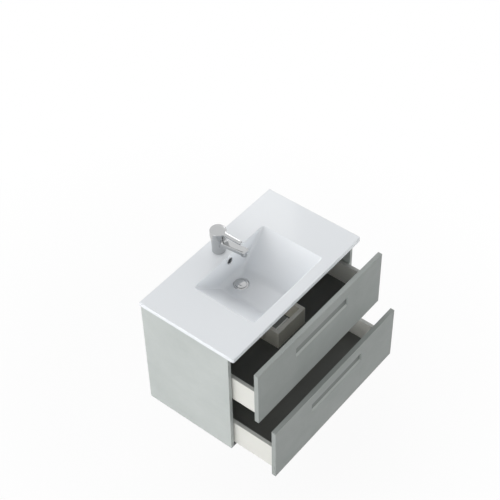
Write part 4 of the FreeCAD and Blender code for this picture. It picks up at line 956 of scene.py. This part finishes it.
@dataclass
class Trap:
    """Bottle trap: inlet pipe, ribbed nuts, head, cup and the pipe into the wall."""

    y: float = -0.170
    outlet: Point = (0.0, 0.0, -0.15701)
    pipe: float = 0.016
    bore: float = 0.0145
    inlet: tuple[float, float] = (-0.20701, -0.11101)
    collar: float = 0.0206
    head: tuple[float, float] = (-0.19101, -0.13701)
    head_radii: tuple[float, float] = (0.028, 0.031)
    cup_end: float = -0.23501
    nut_y: float = -0.121
    wall_entry: float = 0.035
    rib: float = 0.0013

    @property
    def axis(self) -> Point:
        """Upright axis of the trap."""
        return 0.0, self.y, 0.0

    def build(self) -> None:
        """Build and dress all its pieces."""
        low, high = self.inlet
        inlet = [(self.bore, low), (self.pipe, low, 0.0005), (self.pipe, high - 0.003),
                 (self.collar, high - 0.003, 0.0006), (self.collar, high), (self.bore, high)]
        Shell().lathe(inlet, 4, 64, self.axis, closed=True).piece("trap_inlet", "trap_inlet_pipe")
        self.bottle()
        self.nuts()
        back = [(self.bore, -0.139), (self.pipe, -0.139), (self.pipe, -0.003), (0.018, -0.003, 0.001),
                (0.018, 0.0, 0.001), (self.pipe, 0.0), (self.pipe, self.wall_entry, 0.0006),
                (self.bore, self.wall_entry, 0.0004)]
        outlet = Shell().lathe(back, 4, 64, self.outlet, Way.BACK.value, True)
        outlet.piece("trap_outlet", "trap_outlet_pipe")

    def grip(self, shell: Shell, count: int, radius: float, height: float, move: Matrix) -> None:
        """Add grip ribs round a nut."""
        sizes = {"Count": count, "Radius": radius, "Rib": self.rib, "Height": height}
        shell.add(RIGS["ribs"].bake(sizes), move)

    def bottle(self) -> None:
        """Head with its socket, and the screwed cup."""
        (low, high), (inner, outer), end = self.head, self.head_radii, self.cup_end
        head = [(self.pipe, high), (outer, high, 0.004), (outer, low), (inner, low), (inner, high - 0.003),
                (self.pipe, high - 0.003)]
        shell = Shell().lathe(head, 5, 72, self.axis, closed=True)
        socket = [(self.pipe, -0.142), (0.019, -0.142), (0.019, -0.125, 0.0008), (self.pipe, -0.125)]
        shell.lathe(socket, 4, 56, self.outlet, Way.BACK.value, True)
        shell.piece("trap_head", "trap_body")
        cup = [(0.0, end), (0.026, end, 0.004), (0.032, end + 0.003, 0.006), (0.0342, low - 0.002, 0.004),
               (0.0348, low + 0.001, 0.001), (0.0348, low + 0.012, 0.001), (outer, low + 0.012), (outer, low),
               (inner, low), (inner, end + 0.003, 0.004), (0.0, end + 0.003)]
        bottom = Shell().lathe(cup, 5, 72, self.axis)
        self.grip(bottom, 30, 0.0347, 0.0105, Matrix.Translation((0.0, self.y, low + 0.006)))
        bottom.piece("trap_bottle_cup", "trap_cup")

    def nuts(self) -> None:
        """Two ribbed coupling nuts."""
        high = self.inlet[1]
        upper = [(self.pipe, high - 0.007), (0.0244, high - 0.007, 0.001), (0.0244, high + 0.014, 0.001),
                 (self.collar, high + 0.014), (self.collar, high - 0.003), (self.pipe, high - 0.003)]
        shell = Shell().lathe(upper, 4, 64, self.axis, closed=True)
        self.grip(shell, 24, 0.0243, 0.0185, Matrix.Translation((0.0, self.y, high + 0.0035)))
        side = [(self.pipe, 0.0), (0.0228, 0.0, 0.001), (0.0228, 0.010, 0.001), (0.019, 0.010),
                (0.019, 0.004), (self.pipe, 0.004)]
        shell.lathe(side, 4, 64, (0.0, self.nut_y, self.outlet[2]), Way.FRONT.value, True)
        move = Matrix.Translation((0.0, self.nut_y - 0.005, self.outlet[2]))
        self.grip(shell, 22, 0.0227, 0.0085, move @ Matrix.Rotation(math.radians(90), 4, "X"))
        shell.piece("trap_coupling_nuts", "trap_nuts")


@dataclass
class Tap:
    """Single-lever tap: flared column with a rising spout, and a lever cap with its blade."""

    deck: float = 0.098
    y: float = -0.060
    base: float = 0.028
    waist: tuple[float, float] = (0.0285, 0.040)
    rim: tuple[float, float] = (0.034, 0.086)
    pivot: float = 0.0565
    dome: float = 0.04501
    throat: float = 0.0206
    shank: float = 0.0165
    seat: float = 0.0175
    inlet_x: float = 0.0065
    inlet_radius: float = 0.0045
    stud_y: float = -0.071
    stud_hole: float = 0.004
    stud_radius: float = 0.0037
    spout_root: float = 0.0521
    spout_rise: float = 8.0
    spout_reach: float = 0.142
    spout_half: tuple[float, float] = (0.017, 0.010)
    jet_y: float = -0.189
    jet_low: float = 0.14913
    jet_radius: float = 0.0105
    lever_top: float = 0.112
    lever_reach: float = 0.115
    lever_half: tuple[float, float] = (0.009, 0.0045)
    cap: tuple[float, float] = (0.0335, 0.113)
    cap_skirt: float = 0.0339

    @property
    def foot(self) -> Point:
        """Middle of the column's foot on the deck."""
        return 0.0, self.y, self.deck

    def build(self) -> None:
        """Build and dress all its pieces."""
        self.body()
        self.lever()
        self.aerator()
        self.fixing()

    def over(self, radius: float, gap: float = 0.0) -> tuple[float, float]:
        """Point of the domed head, or of a larger dome, at a radius."""
        return radius, self.pivot + math.sqrt((self.dome + gap) ** 2 - radius ** 2)

    def body(self) -> None:
        """Column, domed head, spout and shank in one casting."""
        top = self.rim[0]
        dome = [self.over(top + (self.throat - top) * step / 8) for step in range(1, 9)]
        column = [(0.0, -0.017), (self.shank, -0.017, 0.0006), (self.shank, 0.0015),
                  (self.base, 0.0015, 0.0012), (self.waist[0] - 0.0004, self.waist[1], 0.030),
                  (*self.rim, 0.0005), *dome, (self.throat, 0.048), (self.seat, 0.048), (self.seat, 0.014),
                  (0.0, 0.014)]
        holes = []
        for x, y, radius, end in ((-self.inlet_x, self.y, self.inlet_radius, -0.005),
                                  (self.inlet_x, self.y, self.inlet_radius, -0.005),
                                  (0.0, self.stud_y, self.stud_hole, -0.007)):
            bore = [(0.0, -0.03), (radius, -0.03), (radius, end), (0.0, end)]
            holes.append(Shell().lathe(bore, 1, 24, (x, y, self.deck)))
        shell = Shell().lathe(column, 14, 128, self.foot).carve(holes)
        self.spout(shell)
        inner, outer, low = self.jet_radius, 0.0125, self.jet_low
        boss = [(inner, low), (outer, low, 0.0012), (outer, low + 0.012), (inner, low + 0.012)]
        shell.lathe(boss, 5, 56, (0.0, self.jet_y, 0.0), closed=True)
        shell.piece("tap_casting", "tap_body", 44.0)

    @staticmethod
    def fillet(distance: float, radius: float) -> float:
        """Extra half size of a bar at a distance from the wall that it runs into."""
        inside = min(max(distance, 0.0), radius)
        return radius - math.sqrt(max(radius ** 2 - (radius - inside) ** 2, 0.0))

    def bar(self, shell: Shell, reach: float, half: tuple[float, float], ease: float, wall: float,
            fillets: Point, spot: Callable[[float, float, float], Vector], crown: float = 0.0) -> None:
        """Bar that flares into a round wall and ends in a rounded tip.

        Args:
            shell: Shell that takes the bar.
            reach: Distance of the tip from the axis.
            half: Half width and half thickness.
            ease: Corner length of the section and of the tip.
            wall: Radius of the wall that it runs into.
            fillets: Fillet radius at the sides, below and above.
            spot: Function of distance, side and height that gives a point.
            crown: Rise of the top's middle.
        """
        wide, thick = half
        flare, below, above = fillets
        outline = rounded([(-wide, -thick, ease), (0.0, -thick), (wide, -thick, ease), (wide, 0.0),
                           (wide, thick, ease), (wide * 0.5, thick), (0.0, thick), (-wide * 0.5, thick),
                           (-wide, thick, ease), (-wide, 0.0)], 6, True)

        def lift(u: float, v: float) -> float:
            """Rise of the crown at a point of the section."""
            return crown * (1 - (u / wide) ** 2) if v > thick * 0.5 else 0.0

        start, root = wall * 0.62, wall + below
        stations = [start + (root - start) * k / 22 for k in range(23)]
        stations += [root + (reach - ease - root) * k / 10 for k in range(1, 11)]
        free = math.sqrt((wall + flare) ** 2 - (wide + flare) ** 2)
        touch = free * wall / (wall + flare)
        rings = []
        for station in stations:
            side = wide
            if station < touch:
                side = math.sqrt(wall ** 2 - station ** 2) - 0.0004
            elif station < free:
                side = wide + flare - math.sqrt(flare ** 2 - (station - free) ** 2)
            ring = []
            for u, v in outline:
                across = u * side / wide
                front = math.sqrt(max(wall ** 2 - min(abs(across), wall) ** 2, 0.0))
                extra = self.fillet(station - front, above if v > 0 else below)
                ring.append(spot(station, across, v * (thick + extra) / thick + lift(u, v)))
            rings.append(ring)
        for step in range(1, 7):
            angle = math.radians(90 * step / 6)
            inset = ease * (1 - math.cos(angle))
            station = reach - ease + ease * math.sin(angle)
            rings.append([spot(station, u * (wide - inset) / wide, v * (thick - inset) / thick + lift(u, v))
                          for u, v in outline])
        shell.skin(rings)

    def spout(self, shell: Shell) -> None:
        """Rising spout.

        Args:
            shell: Casting that takes it.
        """
        rise = math.radians(self.spout_rise)
        along = Vector((0.0, -math.cos(rise), math.sin(rise)))
        above = Vector((0.0, math.sin(rise), math.cos(rise)))
        root = Vector((0.0, self.y - 0.0014, self.deck + self.spout_root))

        def spot(station: float, across: float, up: float) -> Vector:
            """Point of the spout."""
            return root + along * station + Vector((across, 0.0, 0.0)) + above * up
        self.bar(shell, self.spout_reach - 0.0006, self.spout_half, 0.0072, 0.0296, (0.013,) * 3, spot)

    def lever(self) -> None:
        """Cap over the dome with the blade."""
        hollow = [self.over(0.0338 * (8 - step) / 8, 0.0003) for step in range(9)]
        top = self.cap[1] - 0.0006
        profile = [(0.0, top), (0.0303, top - 0.0001, 0.0018), (self.cap[0], top - 0.0029, 0.0018),
                   (self.cap_skirt, 0.0875), (self.cap_skirt, 0.0869), *hollow]
        shell = Shell().lathe(profile, 8, 128, self.foot)
        level = self.deck + self.lever_top - self.lever_half[1] - 0.0006

        def spot(station: float, across: float, up: float) -> Vector:
            """Point of the blade."""
            return Vector((across, self.y - station, level + up))
        self.bar(shell, self.lever_reach, self.lever_half, 0.0030, 0.0334, (0.012, 0.006, 0.0), spot, 0.0005)
        shell.piece("tap_lever_cap", "tap_lever", 44.0)

    def aerator(self) -> None:
        """Jet insert with its screen of small rings."""
        low, radius = self.jet_low, self.jet_radius - 0.0001
        profile = [(0.0, low + 0.002), (0.0064, low + 0.002), (0.0084, low - 0.0012, 0.0006),
                   (0.0089, low - 0.002, 0.0006), (radius - 0.0003, low - 0.002, 0.0006),
                   (radius, low - 0.001), (radius, low + 0.009), (0.0, low + 0.009)]
        shell = Shell().lathe(profile, 4, 48, (0.0, self.jet_y, 0.0))
        rings = RIGS["screen"].bake({"Radius": 0.0062, "Count": 9, "Hole": 0.00062, "Wire": 0.0002})
        shell.add(rings, Matrix.Translation((0.0, self.jet_y, low + 0.0019)))
        shell.piece("tap_jet", "tap_aerator")

    def fixing(self) -> None:
        """Threaded stud with its nut, plate and base seal."""
        radius = self.stud_radius
        profile = [(0.0, 0.036), (radius, 0.036, 0.0008), (radius, 0.091, 0.0005), (0.0, 0.091)]
        stud = Shell().lathe(profile, 3, 32, (0.0, self.stud_y, 0.0))
        sizes = {"Radius": radius - 0.0001, "Turns": 33.0, "Height": 0.0405, "Crest": 0.00042}
        stud.add(RIGS["thread"].bake(sizes), Matrix.Translation((0.0, self.stud_y, 0.0365)))
        stud.piece("tap_stud", "tap_fixing_stud")
        eased(0.0005, "tap_fixing_nut")
        eased(0.0004, "tap_fixing_plate")
        eased(0.0003, "tap_base_seal")


@dataclass
class Carcass:
    """Side panels, bottom, rear rails, cams and bumpers."""

    ease: float = 0.0006
    cam_radius: float = 0.0075
    cam_depth: float = 0.0125
    cam_dip: float = 0.0004

    def build(self) -> None:
        """Build and dress all its pieces."""
        eased(self.ease, "side_panel_left", "side_panel_right", "bottom_panel", "top_rear_rail",
              "lower_rear_rail", outer=True)
        places = []
        for low, high in solids("cam_locks"):
            upright = high.y - low.y < high.z - low.z
            places.append(seat(low, high, Way.FRONT if upright else Way.DOWN))
        settle(fasten(places, self.cam()), "cam_discs", ("cam_locks",))
        pad = [(0.0, 0.0), (0.005, 0.0), (0.005, 0.0005, 0.0004), (0.0036, 0.00145, 0.0012), (0.0, 0.0017)]
        places = [seat(low, high, Way.FRONT, True) for low, high in solids("bumpers")]
        settle(fasten(places, Shell().lathe(pad, 5, 28)), "bumper_domes", ("bumpers",))

    def cam(self) -> Shell:
        """Cam disc with a cross recess and a rim, facing +Z with its face at the origin.

        Returns:
            Its shell.
        """
        radius, depth, dip = self.cam_radius, self.cam_depth, -self.cam_dip
        profile = [(0.0, dip), (radius - 0.0016, dip), (radius - 0.0013, 0.0), (radius, 0.0, 0.0003),
                   (radius, -depth, 0.0003), (0.0, -depth)]
        return Shell().lathe(profile, 2, 28).carve(cross(0.0013, 0.0072, 0.003, dip))


@dataclass
class Hanging:
    """Wall plates, hangers and their adjusting screws."""

    screw_radius: float = 0.0045
    screw_height: float = 0.003

    def build(self) -> None:
        """Build and dress all its pieces."""
        eased(0.0006, "wall_plates")
        eased(0.0012, "hangers", segments=3)
        radius, high = self.screw_radius, self.screw_height
        profile = [(0.0, 0.0), (radius, 0.0), (radius, high, 0.0008), (0.0, high)]
        head = Shell().lathe(profile, 3, 28).carve(cross(0.0012, 0.0056, 0.002, high))
        places = [seat(low, high, Way.FRONT, True) for low, high in solids("hanger_screws")]
        settle(fasten(places, head), "hanger_adjusters", ("hanger_screws",))


@dataclass
class Runners:
    """Runner members of both drawers and the screws that hold them."""

    ease: float = 0.0004
    head_radius: float = 0.004
    head_height: float = 0.0015
    shank_radius: float = 0.002
    shank_length: float = 0.0135

    def build(self) -> None:
        """Build and dress all its pieces."""
        for level in Level:
            for side in Side:
                names = (f"{level.value}_runner_{member}_{side.value}" for member in ("cabinet", "middle"))
                eased(self.ease, *names)
            eased(self.ease, f"{level.value}_runner_rails")
        places = [seat(low, high, Way.RIGHT if low.x < 0 else Way.LEFT)
                  for low, high in solids("runner_screws")]
        radius, high, shank, end = self.head_radius, self.head_height, self.shank_radius, -self.shank_length
        profile = [(0.0, end), (0.0006, end), (shank, -0.0105), (shank, 0.0), (radius, 0.0),
                   (radius, 0.0004, 0.0003), (0.0026, high - 0.0001, 0.001), (0.0, high)]
        head = Shell().lathe(profile, 3, 24, (0.0, 0.0, -high)).carve(cross(0.0009, 0.0044, 0.0011, 0.0))
        settle(fasten(places, head), "runner_fixings", ("runner_screws",))


@dataclass
class Drawer:
    """One drawer: front, sides, back, bottom and cam fittings."""

    level: Level
    others: tuple[str, ...]
    ease: float = 0.0005
    bolt_least: float = 0.02
    cam_spin: float = 0.5

    def build(self) -> None:
        """Build and dress all its pieces."""
        name = self.level.value
        eased(0.0004, f"{name}_front")
        eased(self.ease, *(f"{name}_side_{side.value}" for side in Side))
        eased(0.0003, f"{name}_bottom")
        eased(self.ease, *self.others)
        self.fittings()

    def fittings(self) -> None:
        """Cams that show on the inner faces of the sides, and their bolts."""
        node = f"{self.level.value}_cam_fittings"
        cams, bolts = [], []
        for low, high in solids(node):
            if high.y - low.y > self.bolt_least:
                bolts.append(seat(low, high, Way.BACK, True))
            else:
                cams.append(seat(low, high, Way.RIGHT if low.x < 0 else Way.LEFT))
        bolt = [(0.0, 0.0), (0.0018, 0.0), (0.0025, 0.002), (0.0025, 0.011), (0.0035, 0.0112),
                (0.0035, 0.0275, 0.0006), (0.0, 0.0275)]
        whole = Shell().add(fasten(cams, Carcass().cam(), self.cam_spin))
        whole.add(fasten(bolts, Shell().lathe(bolt, 2, 20)))
        whole.piece(f"{self.level.value}_cams", node)


@dataclass
class Studio:
    """Camera, light and floor."""

    camera_place: Point = (-2.58002, -2.36124, 3.62792)
    camera_aim: Point = (-0.0973, -0.3, 0.3261)
    camera_roll: float = -1.317
    lens: float = 90.325
    floor_level: float = -0.752
    floor_reach: float = 30.0
    floor_tone: Colour = (0.23, 0.235, 0.24)
    floor_seen: Colour = (0.95, 0.95, 0.95)
    horizon: float = 1.95
    behind: float = 1.48

    def camera(self) -> None:
        """Camera at the photograph's viewing angle."""
        data = bpy.data.cameras.new("camera")
        data.sensor_width, data.lens = 36.0, self.lens
        data.clip_start, data.clip_end = 0.05, 100.0
        place, aim = Vector(self.camera_place), Vector(self.camera_aim)
        roll = Matrix.Rotation(math.radians(self.camera_roll), 3, "Z")
        turn = (aim - place).to_track_quat("-Z", "Y").to_matrix() @ roll
        camera = linked("camera", data)
        camera.matrix_world = Matrix.Translation(place) @ turn.to_4x4()
        bpy.context.scene.camera = camera

    def lamp(self, name: str, place: Point, aim: Point, size: float, power: float) -> None:
        """Square soft lamp.

        Args:
            name: Lamp's name.
            place: Where it stands.
            aim: Point that it faces.
            size: Side in metres.
            power: Watts.
        """
        data = bpy.data.lights.new(name, "AREA")
        data.size, data.energy = size, power
        lamp = linked(name, data)
        lamp.location = place
        lamp.visible_camera = False
        lamp.rotation_mode = "QUATERNION"
        lamp.rotation_quaternion = (Vector(aim) - Vector(place)).to_track_quat("-Z", "Y")

    def world(self) -> None:
        """Sky that is dimmer overhead and in front, and shows as white behind the object and in its gloss."""
        world = bpy.data.worlds.new("studio")
        world.use_nodes = True
        bpy.context.scene.world = world
        graph = Graph(world.node_tree)
        seen = self.seen(graph)
        _, back, height = graph.axes("Generated")
        low = 1.0 - abs(height)
        sky = low * (low * self.horizon + (back + 1.0) * self.behind)
        strength = seen * (1.0 - sky) + sky
        light = graph.node("Background", {}, {"Color": (1, 1, 1, 1), "Strength": strength})
        graph.node("OutputWorld", {}, {"Surface": light})

    @staticmethod
    def seen(graph: Graph) -> Value:
        """1 on rays from the camera, off gloss or through glass.

        Args:
            graph: Nodes of the world or the floor.

        Returns:
            The factor.
        """
        path = graph.node("LightPath")
        outputs = path.socket.node.outputs
        camera, glossy, through = (Value(graph, outputs[f"Is {kind} Ray"])
                                   for kind in ("Camera", "Glossy", "Transmission"))
        return path.math("MINIMUM", camera + glossy + through, 1.0)

    def floor(self) -> None:
        """Pale floor that keeps the shadow and fades to white."""
        mesh = bpy.data.meshes.new("floor")
        reach = self.floor_reach
        sides = ((-reach, -reach), (reach, -reach), (reach, reach), (-reach, reach))
        mesh.from_pydata([(*side, self.floor_level) for side in sides], [], [(0, 1, 2, 3)])
        material = bpy.data.materials.new("floor")
        material.use_nodes = True
        graph = Graph(material.node_tree)
        seen = self.seen(graph)
        tone = graph.mix(seen, self.floor_tone, self.floor_seen)
        matt = graph.node("BsdfDiffuse", {}, {"Color": tone})
        glow = graph.node("Emission", {}, {"Color": (1, 1, 1, 1), "Strength": 1.0})
        level = {0: graph.place((0.35, 0.35, 0.0))}
        away = graph.node("VectorMath", {"operation": "LENGTH"}, level, "Value")
        fade = graph.ramp(away, (0.25, 0.9), (0.6, 1.0)) * seen
        surface = graph.node("MixShader", {}, {0: fade, 1: matt, 2: glow})
        graph.node("OutputMaterial", {}, {"Surface": surface})
        mesh.materials.append(material)
        floor = linked("floor", mesh)
        floor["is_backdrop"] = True

    def build(self) -> None:
        """Set up the whole stage."""
        bpy.context.scene.view_settings.view_transform = "Standard"
        self.camera()
        self.world()
        self.floor()
        self.lamp("key", (-3.5, 0.25, 0.6), (0.0, -0.3, -0.1), 2.2, 13.0)
        self.lamp("fill", (3.2, 1.6, 1.6), (0.0, -0.2, -0.1), 3.0, 1.5)
        self.lamp("stripe", (1.90, 1.21, 2.11), (0.0, -0.13, 0.21), 0.37, 0.9)


def dress_nodes() -> None:
    """Give every carried-over node its finish."""
    for node, slot in NODE_SLOT.items():
        piece = frame["nodes"][node]
        piece.data.materials.clear()
        piece.data.materials.append(SLOT_FINISHES[slot].material())


def main() -> None:
    """Build the object and its stage."""
    logging.basicConfig(level=logging.INFO, format="%(name)s: %(message)s")
    dress_nodes()
    Waste().build()
    Trap().build()
    Tap().build()
    Carcass().build()
    Hanging().build()
    Runners().build()
    Drawer(Level.UPPER, ("upper_backs", "upper_recess")).build()
    Drawer(Level.LOWER, ("lower_back",)).build()
    Studio().build()
    boxes = [[list(corner) for corner in box] for box in (CAD_BOX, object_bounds())]


if __name__ == "__main__":
    main()
